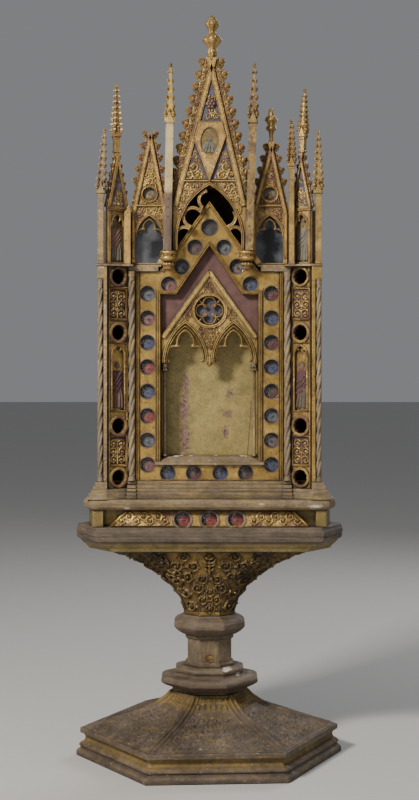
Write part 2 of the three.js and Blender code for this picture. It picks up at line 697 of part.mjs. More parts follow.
function makeBay(name) {
  const { half, foot, front, thick, ledge, notch, pitch } = BAY;
  const { apex, lean, crockets } = BAY_GABLE[name];
  const gable = {
    half, foot, apex, lean, depth: thick, bar: 7, proud: 3, coping: 5, crockets, size: 10,
    reach: crockets * pitch / Math.hypot(half, apex - foot),
  };
  // The lower inner corner is cut back, to pass the sloping front frame.
  const low = SILL_TOP + GAP;
  const panel = board([[8 - half, low], [half, low], [half, foot], [lean, apex],
    [-half, foot], [-half, low + notch]], 0, thick);
  const arch = pointedArch(WINDOW.half, WINDOW.rise, [0.28, 0.72], 9, 18);
  const opening = [[11 - WINDOW.half, low + 3], [WINDOW.half, low + 3],
    ...moved(arch, 0, WINDOW.spring), [-WINDOW.half, low + notch + 7]];
  const window = board(opening, -1, thick + 1);
  const string = box([4 - half, -4, ledge - 2.5], [half - 4, 1, ledge + 2.5]);
  const medallion = board(circle(0, 1024, 16), -2, 1);
  const body = union([panel, string, medallion, ...gableParts(gable)]).subtract(toSolid(window));
  const finial = leafyFinial(BAY_FINIAL_ROWS).translate(lean, thick / 2, 0);
  const lost = box([-40, -20, BROKEN_TOP], [40, 40, 1200]);
  const whole = name === 'left' ? body.subtract(toSolid(lost)) : body.add(toSolid(finial));
  return toGeometry(whole).translate(BAY.centre, front, 0);
}

const CANOPY = { half: 66, bottom: 921, foot: 1002, apex: 1268, lean: 4, thick: 12 };

function makeCanopy() {
  const { half, bottom, foot, apex, lean, thick } = CANOPY;
  const gable = {
    half, foot, apex, lean, depth: thick, bar: 7, proud: 4, coping: 9, crockets: 11, size: 13,
  };
  const panel = board([[-half, bottom], [half, bottom], [half, foot], [lean, apex],
    [-half, foot]], 0, thick);
  const arch = pointedArch(60, 101, [], 0, 20);
  const opening = board(moved(archedOpening(arch, -30), 0, 940), -9, thick + 1);
  const ledge = box([-52, -4, 1043], [54, 1, 1049]);
  const kite = board([[0, 1047], [29, 1125], [22, 1152], [-22, 1152], [-29, 1125]], -5, 1);
  const rosette = board(circle(2, 1184, 9), -4, 1);
  const below = box([-90, -20, 880], [90, 40, bottom]);
  const finial = leafyFinial(FINIAL_ROWS).translate(lean + 1, thick / 2, 0);
  const body = union([panel, ledge, kite, rosette, finial, ...gableParts(gable)]);
  return toGeometry(body.subtract(toSolid(opening)).subtract(toSolid(below)))
    .translate(0, CANOPY_FRONT, 0);
}

// Cusps hang inside the canopy's arch. The right side has lost the top of its run.
function makeCusping(side) {
  const steps = 36;
  const outer = pointedArch(59.7, 100.6, [], 0, steps);
  const inner = pointedArch(52, 92, [0.14, 0.27, 0.4], 22, steps);
  const kept = side < 0 ? steps / 2 : steps / 4;
  const band = [...outer.slice(0, kept + 1), ...inner.slice(0, kept + 1).reverse()];
  return board(moved(band, 0, 940), CANOPY_FRONT + 3, CANOPY_FRONT + 9);
}

function makeCorbel() {
  const rows = [
    [884.3, 2], [889, 6], [896, 10], [901, 9], [904, 14], [909, 15], [911, 11.5], [914, 14.5],
    [919.7, 15],
  ];
  const turned = loft(rows.map(([z, radius]) => ({ z, plan: polygon(10, radius) })))
    .translate(0, -66, 0);
  return join(turned, box([-6, -58, 900], [6, BAY.front - 0.5, 918]));
}

// The storey above a wing, on the same slanting plane: a figure niche under a steep gable.
function makeCornerGable() {
  const half = 21;
  const gable = {
    half, foot: 999, apex: 1097, depth: 9, bar: 5, proud: 3, coping: 2.5, crockets: 4, size: 7,
    reach: 0.65,
  };
  const panel = board([[-half, SILL_TOP + GAP], [half, SILL_TOP + GAP], [half, 999],
    [0, 1097], [-half, 999]], 0, 9);
  const arch = pointedArch(14, 24, [0.3, 0.7], 4, 14);
  const niche = board(moved(archedOpening(arch, -64), 0, 964), -1, 5);
  const ledge = box([-half, -4, 993], [half, 1, 998]);
  const body = union([panel, ledge, ...gableParts(gable)]).subtract(toSolid(niche));
  return toGeometry(body).translate(half + 1, 0, 0);
}

// The tall pinnacles beside the canopy stand a little unevenly on their corbels and lean.
const TALL_PINNACLE = {
  left: { corbel: -74, x: -75.2, lean: 0.016 },
  right: { corbel: 67.5, x: 70.9, lean: 0.03 },
};

function buildBays() {
  bothSides((name, side) => {
    const tall = TALL_PINNACLE[name];
    place(`sill_${name}`, handed(makeSill(), side), FINISH.gilding);
    place(`bay_${name}`, handed(makeBay(name), side), FINISH.gilding);
    const pane = box([82, -39.5, SILL_TOP + 3], [138, -37.5, 994]);
    place(`window_pane_${name}`, handed(pane, side), FINISH.glass);
    place(`corbel_${name}`, makeCorbel(), FINISH.gilding).position.x = tall.corbel;
    const shaft = leaning(pinnacle(6.8, 920, 1148, 1257, 5), 920, tall.lean);
    place(`tall_pinnacle_${name}`, shaft, FINISH.gilding).position.set(tall.x, -74, 0);
  });
}

const CORNER = {
  left: { spireTop: 1224, spireLean: 0, outerTop: 1139, outerLean: 0.06 },
  right: { spireTop: 1213, spireLean: 0.045, outerTop: 1135, outerLean: 0 },
};

function buildCorners() {
  bothSides((name, side) => {
    const { spireTop, spireLean, outerTop, outerLean } = CORNER[name];
    const group = wingGroup(side);
    place(`corner_gable_${name}`, handed(makeCornerGable(), side), FINISH.gilding, group);
    const spire = leaning(pinnacle(5.5, 1097.8, 1126, spireTop, 5), 1104, spireLean);
    place(`corner_spire_${name}`, spire, FINISH.gilding, group).position.set(side * 22, 4.5, 0);
    const outer = leaning(pinnacle(6, SILL_TOP + GAP, 1022, outerTop, 4), 1022, outerLean);
    place(`outer_pinnacle_${name}`, outer, FINISH.gilding).position.set(side * 195, -75, 0);
  });
}

// The inner pinnacle on the left has broken off at the roof, which leaves its splintered shaft.
const BROKEN_SHAFT = [
  [-153, SILL_TOP + GAP], [-142, SILL_TOP + GAP], [-142, 998], [-145, ROOF], [-149, 994], [-153, 989],
];

function buildCrown() {
  buildBays();
  buildCorners();
  place('canopy', makeCanopy(), FINISH.gilding);
  place('cusping_left', handed(makeCusping(-1), -1), FINISH.gilding);
  place('cusping_right', makeCusping(1), FINISH.gilding);
  const inner = place('inner_pinnacle_right', pinnacle(5.5, SILL_TOP + GAP, 1072, 1157, 4),
    FINISH.gilding);
  inner.position.set(147.5, -64.5, 0);
  place('inner_pinnacle_stub_left', board(BROKEN_SHAFT, -70, -59), FINISH.gilding);
}

buildFootAndStem();
buildPlatform();
buildFrontAndNiche();
buildWings();
buildCase();
buildCrown();

export default reliquary;
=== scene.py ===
"""The looks of a Gothic reliquary tabernacle: carved and gilded wood on a hexagonal foot.

Shapes are worked out in millimetres, in the part's own frame: +Z up, front to -Y. Paths and plates lie
in X and Z, and y grows towards the back.
"""

import math
import random

import bmesh
import bpy
import numpy as np
from mathutils import Matrix, Vector


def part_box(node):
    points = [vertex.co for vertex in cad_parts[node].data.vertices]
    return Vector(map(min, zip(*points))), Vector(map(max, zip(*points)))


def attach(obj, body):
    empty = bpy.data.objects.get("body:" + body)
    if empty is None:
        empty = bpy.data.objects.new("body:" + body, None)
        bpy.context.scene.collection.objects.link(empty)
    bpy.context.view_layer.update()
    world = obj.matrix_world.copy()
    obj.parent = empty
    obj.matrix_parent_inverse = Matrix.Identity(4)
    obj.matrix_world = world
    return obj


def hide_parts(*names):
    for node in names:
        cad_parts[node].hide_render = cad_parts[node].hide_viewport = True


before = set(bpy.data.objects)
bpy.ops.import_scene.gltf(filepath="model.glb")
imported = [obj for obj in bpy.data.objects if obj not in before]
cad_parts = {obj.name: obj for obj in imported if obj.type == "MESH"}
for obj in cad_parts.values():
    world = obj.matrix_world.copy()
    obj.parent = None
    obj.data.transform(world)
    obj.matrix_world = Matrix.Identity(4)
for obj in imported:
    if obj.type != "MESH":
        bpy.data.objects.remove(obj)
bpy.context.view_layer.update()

MM = 0.001
ROOT = "root"
SIDES = {"left": -1, "right": 1}
HERE = Matrix.Identity(4)
CORNERS = ((-1, -1), (1, -1), (1, 1), (-1, 1))
rng = random.Random(7)


# ---------------------------------------------------------------- places taken from the frame
def edge_of(node):
    """A CAD node's lowest and highest corners in millimetres."""
    low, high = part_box(node)
    return np.array(low) / MM, np.array(high) / MM


def upright_of(node):
    """The x and y of a standing CAD node's axis, and its lowest and highest z."""
    low, high = edge_of(node)
    x, y = (low[:2] + high[:2]) / 2
    return x, y, low[2], high[2]


FRAME_FRONT = edge_of("front_frame")[0][1]
FRAME_HALF = edge_of("front_frame")[1][0]
FRAME_BOTTOM = edge_of("front_frame")[0][2]
CHEVRON_APEX = edge_of("front_frame")[1][2]
FRAME_TOP = edge_of("sill_left")[0][2]
SILL_TOP = edge_of("sill_left")[1][2]
TRACERY_FRONT = edge_of("niche_tracery")[0][1] + 4
WING_BOTTOM, WING_TOP = (edge_of("wing_left")[i][2] for i in (0, 1))
BAY_FRONT = edge_of("bay_left")[0][1] + 4
CANOPY_FRONT = edge_of("cusping_left")[0][1] - 3
SHELF_TOP = edge_of("shelf")[1][2]
PREDELLA_TOP = edge_of("cornice")[0][2]
NICHE_HALF = 88.4
NICHE_BOTTOM = edge_of("niche_panel")[0][2]
NICHE_HEAD = 842.5
CHEVRON_SLOPE = 1.393
CHEVRON_INNER_APEX = 931
RELIC_RADIUS = 13.4
RELIC_COLUMN = {"x": 112.5, "bottom": 534, "pitch": 44.3}
PREDELLA_RELICS = (-48.7, 0, 47.6)
PREDELLA_RELIC_Z = 437
PREDELLA_FRONT = -72
PREDELLA_SLOPE = 11
FOOT_TURN = math.radians(3.5)
BAY = {"centre": 109, "half": 32, "foot": 987, "ledge": 1003, "pitch": 21.5, "broken_top": 1134}
MEDALLION_Z = 1024
BAY_GABLE = {"left": (-107, 1143, 5), "right": (112, 1119, 4)}
WINDOW = {"half": 25, "spring": 947, "rise": 40}
WING_ANGLE = math.radians(32.3)
WING_START = (147, -49)
TRACERY_ARCH = {"centre": 43.8, "half": 37.6, "rise": 72.0, "spring": 719.0}


# ---------------------------------------------------------------- meshes
def merged(parts):
    """One (vertices, faces) pair from many."""
    vertices, faces, start = [], [], 0
    for points, polygons in parts:
        vertices.append(np.asarray(points, float))
        faces.extend(tuple(i + start for i in polygon) for polygon in polygons)
        start += len(points)
    return np.concatenate(vertices), faces


def moved(part, matrix):
    """The part carried by a matrix."""
    points, faces = part
    matrix = np.array(matrix)
    return np.asarray(points, float) @ matrix[:3, :3].T + matrix[:3, 3], faces


def shifted(part, x=0.0, y=0.0, z=0.0):
    """The part carried along by x, y and z."""
    return np.asarray(part[0], float) + (x, y, z), part[1]


def mirrored(part):
    """The mirror image across X = 0, with its faces turned the right way out."""
    return np.asarray(part[0], float) * (-1, 1, 1), [tuple(reversed(face)) for face in part[1]]


def at(path, x, z):
    """The path carried by x and z."""
    return [(u + x, v + z) for u, v in path]


def wing_place(side):
    """Lays a piece made along X on a wing's face, with x = 0 at the wing's inner edge."""
    turn = Matrix.Rotation(-side * WING_ANGLE, 4, "Z")
    return Matrix.Translation((side * WING_START[0], WING_START[1], 0)) @ turn


def slope_place(apex, foot):
    """Lays a piece made along X, with its end at the origin, on the slope from foot up to apex."""
    way = np.subtract(apex, foot)
    angle = math.atan2(way[1], way[0])
    return Matrix.Translation((apex[0], 0, apex[1])) @ Matrix.Rotation(-angle, 4, "Y")


def piece(name, part, material, replaces=(), place=HERE, smooth=True):
    """Adds a mesh to the scene as a piece of the object."""
    points, faces = moved(part, place)
    mesh = bpy.data.meshes.new(name)
    mesh.from_pydata((points * MM).tolist(), [], faces)
    mesh.validate()
    mesh.polygons.foreach_set("use_smooth", [smooth] * len(mesh.polygons))
    mesh.materials.append(material)
    made = bpy.data.objects.new(name, mesh)
    bpy.context.scene.collection.objects.link(made)
    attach(made, ROOT)
    if replaces:
        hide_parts(*replaces)
    return made


def edged(made, angle=35):
    """Keeps sharp arrises crisp on a smooth-shaded piece."""
    bpy.context.view_layer.update()
    mesh = made.data
    work = bmesh.new()
    work.from_mesh(mesh)
    bmesh.ops.recalc_face_normals(work, faces=work.faces)
    for edge in work.edges:
        if len(edge.link_faces) == 2:
            edge.smooth = edge.calc_face_angle(0) < math.radians(angle)
    work.to_mesh(mesh)
    work.free()
    return made


def grid_faces(rows, columns, wrap=False):
    """The faces of a grid of points, closed on itself across when it wraps."""
    across = columns if wrap else columns - 1
    return [
        (r * columns + c, r * columns + (c + 1) % columns,
         (r + 1) * columns + (c + 1) % columns, (r + 1) * columns + c)
        for r in range(rows - 1) for c in range(across)
    ]


def sweep(path, profile, closed=False):
    """A moulding along a path in X and Z. The profile is a loop of (sideways, y) pairs."""
    path = np.asarray(path, float)
    ahead = np.roll(path, -1, 0) - path
    if not closed:
        ahead[-1] = ahead[-2]
    ahead /= np.linalg.norm(ahead, axis=1)[:, None]
    behind = np.roll(ahead, 1, 0)
    if not closed:
        behind[0] = ahead[0]
    turned = lambda way: np.stack([-way[:, 1], way[:, 0]], 1)
    side = turned(ahead) + turned(behind)
    side /= np.linalg.norm(side, axis=1)[:, None] + 1e-9
    side /= (side * turned(ahead)).sum(1).clip(0.4)[:, None]
    points = [(p[0] + n[0] * s, y, p[1] + n[1] * s) for p, n in zip(path, side) for s, y in profile]
    count = len(profile)
    faces = grid_faces(len(path), count, wrap=True)
    if closed:
        last = (len(path) - 1) * count
        faces += [(last + i, last + (i + 1) % count, (i + 1) % count, i) for i in range(count)]
    else:
        faces += [tuple(range(count)), tuple(len(points) - 1 - i for i in range(count))]
    return np.array(points), faces


def ridge(width, height, base, steps=6):
    """A half-round moulding profile standing on the plane y = base."""
    arc = [math.pi * i / steps for i in range(steps + 1)]
    top = [(-width / 2 * math.cos(a), base - height * math.sin(a)) for a in arc]
    return [(-width / 2, base + 1.0), *top, (width / 2, base + 1.0)]


def symmetric(half, *middle):
    """A profile from its left half and any points on its middle line."""
    return [*half, *middle, *((-across, y) for across, y in reversed(half))]


def flat_bar(width, height, base):
    """A flat bar with eased edges and a fine groove near each edge."""
    w, h = width / 2, height
    return symmetric([(-w, base + 1), (-w, base - 0.75 * h), (-0.86 * w, base - h), (-0.66 * w, base - h),
                      (-0.6 * w, base - 0.72 * h), (-0.5 * w, base - 0.95 * h)])


def stepped(width, height, base):
    """A squarer bar with a hollow down its middle."""
    w, h = width / 2, height
    left = [(-w, base + 1), (-w, base - 0.6 * h), (-0.72 * w, base - h), (-0.35 * w, base - h)]
    return symmetric(left, (0, base - 0.62 * h))


def ring(x, z, loop, steps=40):
    """A ring round an axis along Y. The loop is (radius, y) pairs."""
    points = []
    for i in range(steps):
        angle = 2 * math.pi * i / steps
        points += [(x + r * math.cos(angle), y, z + r * math.sin(angle)) for r, y in loop]
    count = len(loop)
    faces = []
    for i in range(steps):
        a, b = i * count, ((i + 1) % steps) * count
        faces += [(a + j, a + (j + 1) % count, b + (j + 1) % count, b + j) for j in range(count)]
    return np.array(points), faces


def disc(x, z, radius, y, steps=32, dome=0.0, rings=5):
    """A round sheet facing -Y, domed towards the front."""
    points = [(x, y - dome, z)]
    for row in range(1, rings + 1):
        level = y - dome * (1 - (row / rings) ** 2)
        points += [(u, level, v) for u, v in circle(x, z, radius * row / rings, steps)]
    faces = [(0, 1 + (i + 1) % steps, 1 + i) for i in range(steps)]
    for row in range(rings - 1):
        a = 1 + row * steps
        b = a + steps
        faces += [(a + i, a + (i + 1) % steps, b + (i + 1) % steps, b + i) for i in range(steps)]
    return np.array(points), faces


def lens(x, z, radius, y, dome=2.4, thick=0.8):
    """A thin domed glass with a closed rim."""
    front = disc(x, z, radius, y, dome=dome)
    back = disc(x, z, radius, y + thick, dome=dome)
    steps, count = 32, len(front[0])
    first = count - steps
    rim = [(first + i, count + first + i, count + first + (i + 1) % steps, first + (i + 1) % steps)
           for i in range(steps)]
    points = np.concatenate([front[0], back[0]])
    return points, front[1] + [tuple(reversed([i + count for i in f])) for f in back[1]] + rim


def turned(rows, steps=24, lobes=0, depth=0.0):
    """A turned body on the Z axis, with (height, radius) rows and optional lobes in plan."""
    points = []
    for z, radius in rows:
        for i in range(steps):
            angle = 2 * math.pi * i / steps
            r = radius * (1 - depth * (0.5 - 0.5 * math.cos(lobes * angle)))
            points.append((r * math.cos(angle), r * math.sin(angle), z))
    faces = grid_faces(len(rows), steps, wrap=True)
    last = (len(rows) - 1) * steps
    faces += [tuple(reversed(range(steps))), tuple(range(last, last + steps))]
    return np.array(points), faces


def plate(loops, front, back, bevel=0.5):
    """A flat board with holes between two depths, its arrises eased. Loops are (x, z) paths."""
    curve = bpy.data.curves.new("plate", "CURVE")
    curve.dimensions = "2D"
    curve.fill_mode = "BOTH"
    curve.extrude = (back - front) / 2 - bevel
    curve.bevel_depth = bevel
    curve.bevel_resolution = 1
    curve.offset = -bevel
    for loop in loops:
        spline = curve.splines.new("POLY")
        spline.points.add(len(loop) - 1)
        for point, (x, z) in zip(spline.points, loop):
            point.co = (x, z, 0, 1)
        spline.use_cyclic_u = True
    holder = bpy.data.objects.new("plate", curve)
    mesh = bpy.data.meshes.new_from_object(holder)
    middle = (front + back) / 2
    points = np.array([(v.co.x, middle - v.co.z, v.co.y) for v in mesh.vertices])
    faces = [tuple(face.vertices) for face in mesh.polygons]
    bpy.data.objects.remove(holder)
    bpy.data.curves.remove(curve)
    bpy.data.meshes.remove(mesh)
    return points, faces


def leaned(part, start, slope):
    """The part with everything above z = start leaning to one side."""
    points = np.array(part[0], float)
    points[:, 0] += np.maximum(0, points[:, 2] - start) * slope
    return points, part[1]


def square_rows(rows):
    """A square body from (height, half width) rows."""
    points = [(sx * half, sy * half, z) for z, half in rows for sx, sy in CORNERS]
    faces = grid_faces(len(rows), 4, wrap=True)
    last = (len(rows) - 1) * 4
    return np.array(points), faces + [(3, 2, 1, 0), tuple(range(last, last + 4))]


# ---------------------------------------------------------------- outlines
def oval(x, z, wide, tall, steps=40):
    """An oval about (x, z), given its half width and half height."""
    angles = [2 * math.pi * i / steps for i in range(steps)]
    return [(x + wide * math.cos(angle), z + tall * math.sin(angle)) for angle in angles]


def circle(x, z, radius, steps=40):
    """A circle about (x, z), or a regular polygon when it has few steps."""
    return oval(x, z, radius, radius, steps)


def oblong(x1, z1, x2, z2):
    """A rectangle between two opposite corners."""
    return [(x1, z1), (x2, z1), (x2, z2), (x1, z2)]


def pointed_arch(half, rise, steps=24):
    """A pointed arch from its right springing to its left one, springing from z = 0."""
    radius = (half * half + rise * rise) / (2 * half)
    sweep_angle = math.asin(rise / radius)
    path = []
    for step in range(steps + 1):
        share = step / steps
        side = 1 if share <= 0.5 else -1
        angle = sweep_angle * (1 - abs(2 * share - 1))
        path.append((side * (radius * math.cos(angle) - radius + half), radius * math.sin(angle)))
    return path


def foiled(half, rise, cusps, reach, steps=60):
    """A pointed arch whose curve dips inwards to a cusp at each share of its length."""
    base = np.array(pointed_arch(half, rise, steps))
    centre = np.array((0.0, rise * 0.25))
    path = []
    for i, point in enumerate(base):
        share = i / steps
        near = min([abs(share - cusp) for cusp in cusps])
        dip = max(0.0, 1 - near / 0.085) ** 1.6
        inward = (centre - point) / np.linalg.norm(centre - point)
        path.append(tuple(point + inward * reach * dip))
    return path


def arcs(*foils):
    """A foiled path of arcs, each (x, z, radius, first angle, last angle) in degrees."""
    path = []
    for x, z, radius, first, last in foils:
        for angle in np.radians(np.linspace(first, last, 16)):
            path.append((x + radius * math.cos(angle), z + radius * math.sin(angle)))
    return path


def inside_loop(where, loop):
    """Which (x, z) rows of where lie inside the loop."""
    x, z = where[:, 0], where[:, 1]
    inside = np.zeros(len(where), bool)
    for (x1, z1), (x2, z2) in zip(loop, np.roll(loop, -1, 0)):
        crosses = (z1 > z) != (z2 > z)
        inside ^= crosses & (x < (x2 - x1) * (z - z1) / (z2 - z1 + 1e-12) + x1)
    return inside


def octagon_plan(front, depth, wide, side):
    """Eight corners: the long front and back are 2 * front wide, the ends 2 * side deep."""
    quarter = [(front, -depth), (wide, -side), (wide, side), (front, depth)]
    return quarter + [(-x, -y) for x, y in quarter]


# ---------------------------------------------------------------- carved relief
def eased(value):
    """0 to 1 with a gentle start and end."""
    value = np.clip(value, 0, 1)
    return value * value * (3 - 2 * value)


def stroke(points, radii):
    """Evenly spaced samples of a tapering stroke, as rows of u, v and radius."""
    points, radii = np.asarray(points, float), np.asarray(radii, float)
    span = np.concatenate([[0], np.cumsum(np.linalg.norm(np.diff(points, axis=0), axis=1))])
    count = max(4, int(span[-1] / (radii.mean() * 0.35)))
    where = np.linspace(0, span[-1], count)
    return np.stack([np.interp(where, span, column) for column in (*points.T, radii)], 1)


def leaf(base, heading, length, curl, lobes=4, width=0.42):
    """An acanthus leaf: a midrib that curls, with paired lobes. Angles are in degrees."""
    steps = 14
    angle = math.radians(heading)
    turn = math.radians(curl) / steps
    place = np.array(base, float)
    rib = [place.copy()]
    headings = [angle]
    for step in range(steps):
        angle += turn * (0.4 + 1.2 * step / steps)
        place = place + length / steps * np.array((math.cos(angle), math.sin(angle)))
        rib.append(place.copy())
        headings.append(angle)
    radii = [length * 0.085 * (1 - 0.6 * i / steps) for i in range(steps + 1)]
    strokes = [stroke(rib, radii)]
    for lobe in range(lobes):
        i = int(steps * (lobe + 1) / (lobes + 0.6))
        reach = length * width * (1 - 0.55 * abs(2 * lobe / max(1, lobes - 1) - 0.7))
        for side in (-1, 1):
            way = headings[i] + side * math.radians(52)
            tip = rib[i] + reach * np.array((math.cos(way), math.sin(way)))
            swing = way + side * 0.35
            bend = rib[i] + 0.55 * reach * np.array((math.cos(swing), math.sin(swing)))
            r = length * 0.075
            strokes.append(stroke([rib[i], bend, tip], [r * 0.7, r, r * 0.45]))
    knob = rib[-1]
    strokes.append(stroke([knob, knob + (0.1, 0.1)], [length * 0.1, length * 0.1]))
    return strokes


def scroll(centre, radius, start, hand, turns=1.2):
    """A rolled stem with lobed leaves springing from its outer side and a boss in its eye."""
    steps = 24
    rib, angles = [], []
    for i in range(steps + 1):
        share = i / steps
        angle = math.radians(start) + hand * 2 * math.pi * turns * share
        reach = radius * (1 - 0.72 * share)
        rib.append((centre[0] + reach * math.cos(angle), centre[1] + reach * math.sin(angle)))
        angles.append(angle)
    strokes = [stroke(rib, [radius * (0.2 - 0.07 * i / steps) for i in range(steps + 1)])]
    strokes.append(stroke([centre, (centre[0] + 0.1, centre[1])], [radius * 0.27] * 2))
    for i in (1, 5, 9, 13, 17):
        way = angles[i] + hand * 0.75
        reach = radius * (0.62 - 0.018 * i)
        tip = (rib[i][0] + reach * math.cos(way), rib[i][1] + reach * math.sin(way))
        bend = (rib[i][0] + 0.6 * reach * math.cos(way - hand * 0.3),
                rib[i][1] + 0.6 * reach * math.sin(way - hand * 0.3))
        strokes.append(stroke([rib[i], bend, tip], [radius * 0.12, radius * 0.17, radius * 0.08]))
    return strokes


def rinceau(x, low, high, half, rows):
    """Paired scrolls on both sides of an upright stem, with a leaf at its top."""
    pitch = (high - low) / (rows + 0.35)
    size = min(half * 0.5, pitch * 0.5)
    strokes = [stroke([(x, low), (x, high - pitch * 0.3)], [1.4, 0.9])]
    for row in range(rows):
        z = low + pitch * (row + 0.5)
        turn = 1 if row % 2 else -1
        for side in (-1, 1):
            strokes += scroll((x + side * half * 0.52, z), size, 90 - side * turn * 60, side * turn)
    strokes += leaf((x, high - pitch * 0.62), 90, pitch * 0.55, 0, 3, 0.5)
    return strokes


def scrolled(outline, size, seed):
    """Rolled leaves packed in rows inside an outline."""
    source = random.Random(seed)
    outline = np.asarray(outline, float)
    low, high = outline.min(0), outline.max(0)
    strokes = []
    rows = int((high[1] - low[1]) / (1.7 * size)) + 1
    for row in range(rows):
        z = low[1] + size * (0.9 + 1.7 * row)
        x = low[0] + size * (0.9 if row % 2 else 0.0)
        while x < high[0]:
            centre = (x + source.uniform(-0.12, 0.12) * size, z)
            reach = 0.45 * size
            around = np.array(centre) + reach * np.array([(-1, 0), (1, 0), (0, -1), (0, 1)])
            if inside_loop(around, outline).all():
                hand = 1 if (row + int(x / size)) % 2 else -1
                strokes += scroll(centre, size * source.uniform(0.9, 1.08), source.uniform(0, 360), hand)
            x += 1.95 * size
    return strokes


def carved_height(where, strokes, gain=1.0):
    """Height of the carving at each (u, v) row of where."""
    samples = np.concatenate(strokes)
    height = np.zeros(len(where))
    for start in range(0, len(where), 4000):
        part = where[start:start + 4000]
        gap = ((part[:, None, :] - samples[None, :, :2]) ** 2).sum(2)
        inside = 1 - gap / samples[None, :, 2] ** 2
        dome = np.sqrt(inside.clip(0)) * samples[None, :, 2]
        height[start:start + 4000] = dome.max(1)
    return height * gain


def trimmed(points, faces):
    """The given faces, with only the points that they use."""
    used = sorted({i for face in faces for i in face})
    order = {old: new for new, old in enumerate(used)}
    return points[used], [tuple(order[i] for i in face) for face in faces]


def clear_of_circle(part, x, z, radius):
    """The part without the faces that reach into a circle in X and Z."""
    points, faces = part
    gap = np.hypot(points[:, 0] - x, points[:, 2] - z)
    return trimmed(points, [face for face in faces if gap[list(face)].min() > radius])


def relief(outline, strokes, ground, gain=1.2, step=0.9, sink=0.6, cap=6.0):
    """A carved field inside an (x, z) outline, rising towards -Y from the plane y = ground."""
    outline = np.asarray(outline, float)
    low, high = outline.min(0), outline.max(0)
    columns = int((high[0] - low[0]) / step) + 2
    rows = int((high[1] - low[1]) / step) + 2
    u, v = np.meshgrid(np.linspace(low[0], high[0], columns), np.linspace(low[1], high[1], rows))
    where = np.stack([u.ravel(), v.ravel()], 1)
    height = np.minimum(carved_height(where, strokes, gain), cap)
    inside = inside_loop(where, outline)
    y = np.where(inside, ground - height, ground + sink)
    points = np.stack([where[:, 0], y, where[:, 1]], 1)
    return trimmed(points, [face for face in grid_faces(rows, columns) if inside[list(face)].any()])


def wrapped_relief(rings, counts, rows, height_at):
    """Carves a relief on a lofted body. Rings are (z, plan), and counts says how finely each side is cut.
    height_at(side, where) takes rows of distance from the side's middle line and climb, in millimetres,
    and shares across and up, and returns how far the surface stands out."""
    sides = len(rings[0][1])
    levels = np.array([z for z, _ in rings], float)
    plans = np.array([plan for _, plan in rings], float)
    corners = np.dstack([plans, np.repeat(levels[:, None], sides, 1)])
    middles = (corners + np.roll(corners, -1, 1)) / 2
    climbs = np.vstack([np.zeros(sides), np.cumsum(np.linalg.norm(np.diff(middles, axis=0), axis=2), axis=0)])
    share_up = climbs.mean(1) / climbs.mean(1)[-1]
    flat, wheres = [], []
    for up in np.linspace(0, 1, rows):
        at_level = lambda values: np.interp(up, share_up, values)
        ring_points = [np.array([at_level(corners[:, i, axis]) for axis in range(3)]) for i in range(sides)]
        row, where = [], []
        for side in range(sides):
            a, b = ring_points[side], ring_points[(side + 1) % sides]
            width, climb = np.linalg.norm(b - a), at_level(climbs[:, side])
            for step in range(counts[side]):
                share = step / counts[side]
                row.append(a + (b - a) * share)
                where.append(((share - 0.5) * width, climb, share, up))
        flat.append(row)
        wheres.append(where)
    points, wheres = np.array(flat), np.array(wheres)
    normal = np.cross(np.roll(points, -1, 1) - np.roll(points, 1, 1), np.gradient(points, axis=0))
    normal /= np.linalg.norm(normal, axis=2)[:, :, None] + 1e-9
    start = 0
    for side, count in enumerate(counts):
        where = wheres[:, start:start + count].reshape(-1, 4)
        height = height_at(side, where).reshape(rows, count)
        points[:, start:start + count] += normal[:, start:start + count] * height[:, :, None]
        start += count
    faces = grid_faces(rows, start, wrap=True)
    faces += [tuple(reversed(range(start))), tuple(range((rows - 1) * start, rows * start))]
    return points.reshape(-1, 3), faces


def bud(size, steps=12):
    """A lobed knob about its own centre: the curled end of a crocket."""
    points = []
    rows = 8
    for row in range(rows + 1):
        polar = math.pi * row / rows
        for i in range(steps):
            angle = 2 * math.pi * i / steps
            lobes = 1 + 0.2 * math.cos(4 * angle) * math.sin(polar) + 0.12 * math.cos(3 * polar)
            r = size * lobes
            points.append((r * math.sin(polar) * math.cos(angle),
                           0.85 * r * math.sin(polar) * math.sin(angle), r * math.cos(polar)))
    return np.array(points), grid_faces(rows + 1, steps, wrap=True)


def bud_ring(size, reach, level, count, start=0.0):
    """Buds set in a circle about the Z axis."""
    angles = [start + 2 * math.pi / count * i for i in range(count)]
    return [shifted(bud(size, 8), reach * math.cos(a), reach * math.sin(a), level) for a in angles]


def crocket(size, depth):
    """A thick leaf that springs from the plane z = 0, rises and rolls over into a lobed knob."""
    rows, columns = 9, 8
    points = []
    for row in range(rows):
        share = row / (rows - 1)
        bend = share * math.radians(150)
        x = -0.4 + 0.4 * (1 - math.cos(bend))
        z = -0.1 + 0.45 * share ** 0.8 + 0.12 * math.sin(bend)
        thick = 0.44 - 0.08 * share
        for column in range(columns):
            angle = 2 * math.pi * column / columns
            flute = 1 + 0.22 * math.cos(4 * angle)
            points.append((size * (x + thick * flute * math.cos(angle) * math.cos(bend * 0.6)),
                           depth * 0.46 * flute * math.sin(angle),
                           size * (z + thick * flute * math.cos(angle) * math.sin(bend * 0.6))))
    faces = grid_faces(rows, columns, wrap=True)
    faces += [tuple(reversed(range(columns))), tuple(range((rows - 1) * columns, rows * columns))]
    parts = [(np.array(points), faces), shifted(bud(0.44 * size, 10), x=0.2 * size, z=0.5 * size)]
    for way in (-1, 1):
        for x, z, reach in ((0.02, 0.34, 0.3), (-0.5, 0.12, 0.26), (0.3, 0.68, 0.22), (-0.3, 0.5, 0.2)):
            parts.append(shifted(bud(reach * size, 8), x * size, way * depth * 0.32, z * size))
    return merged(parts)


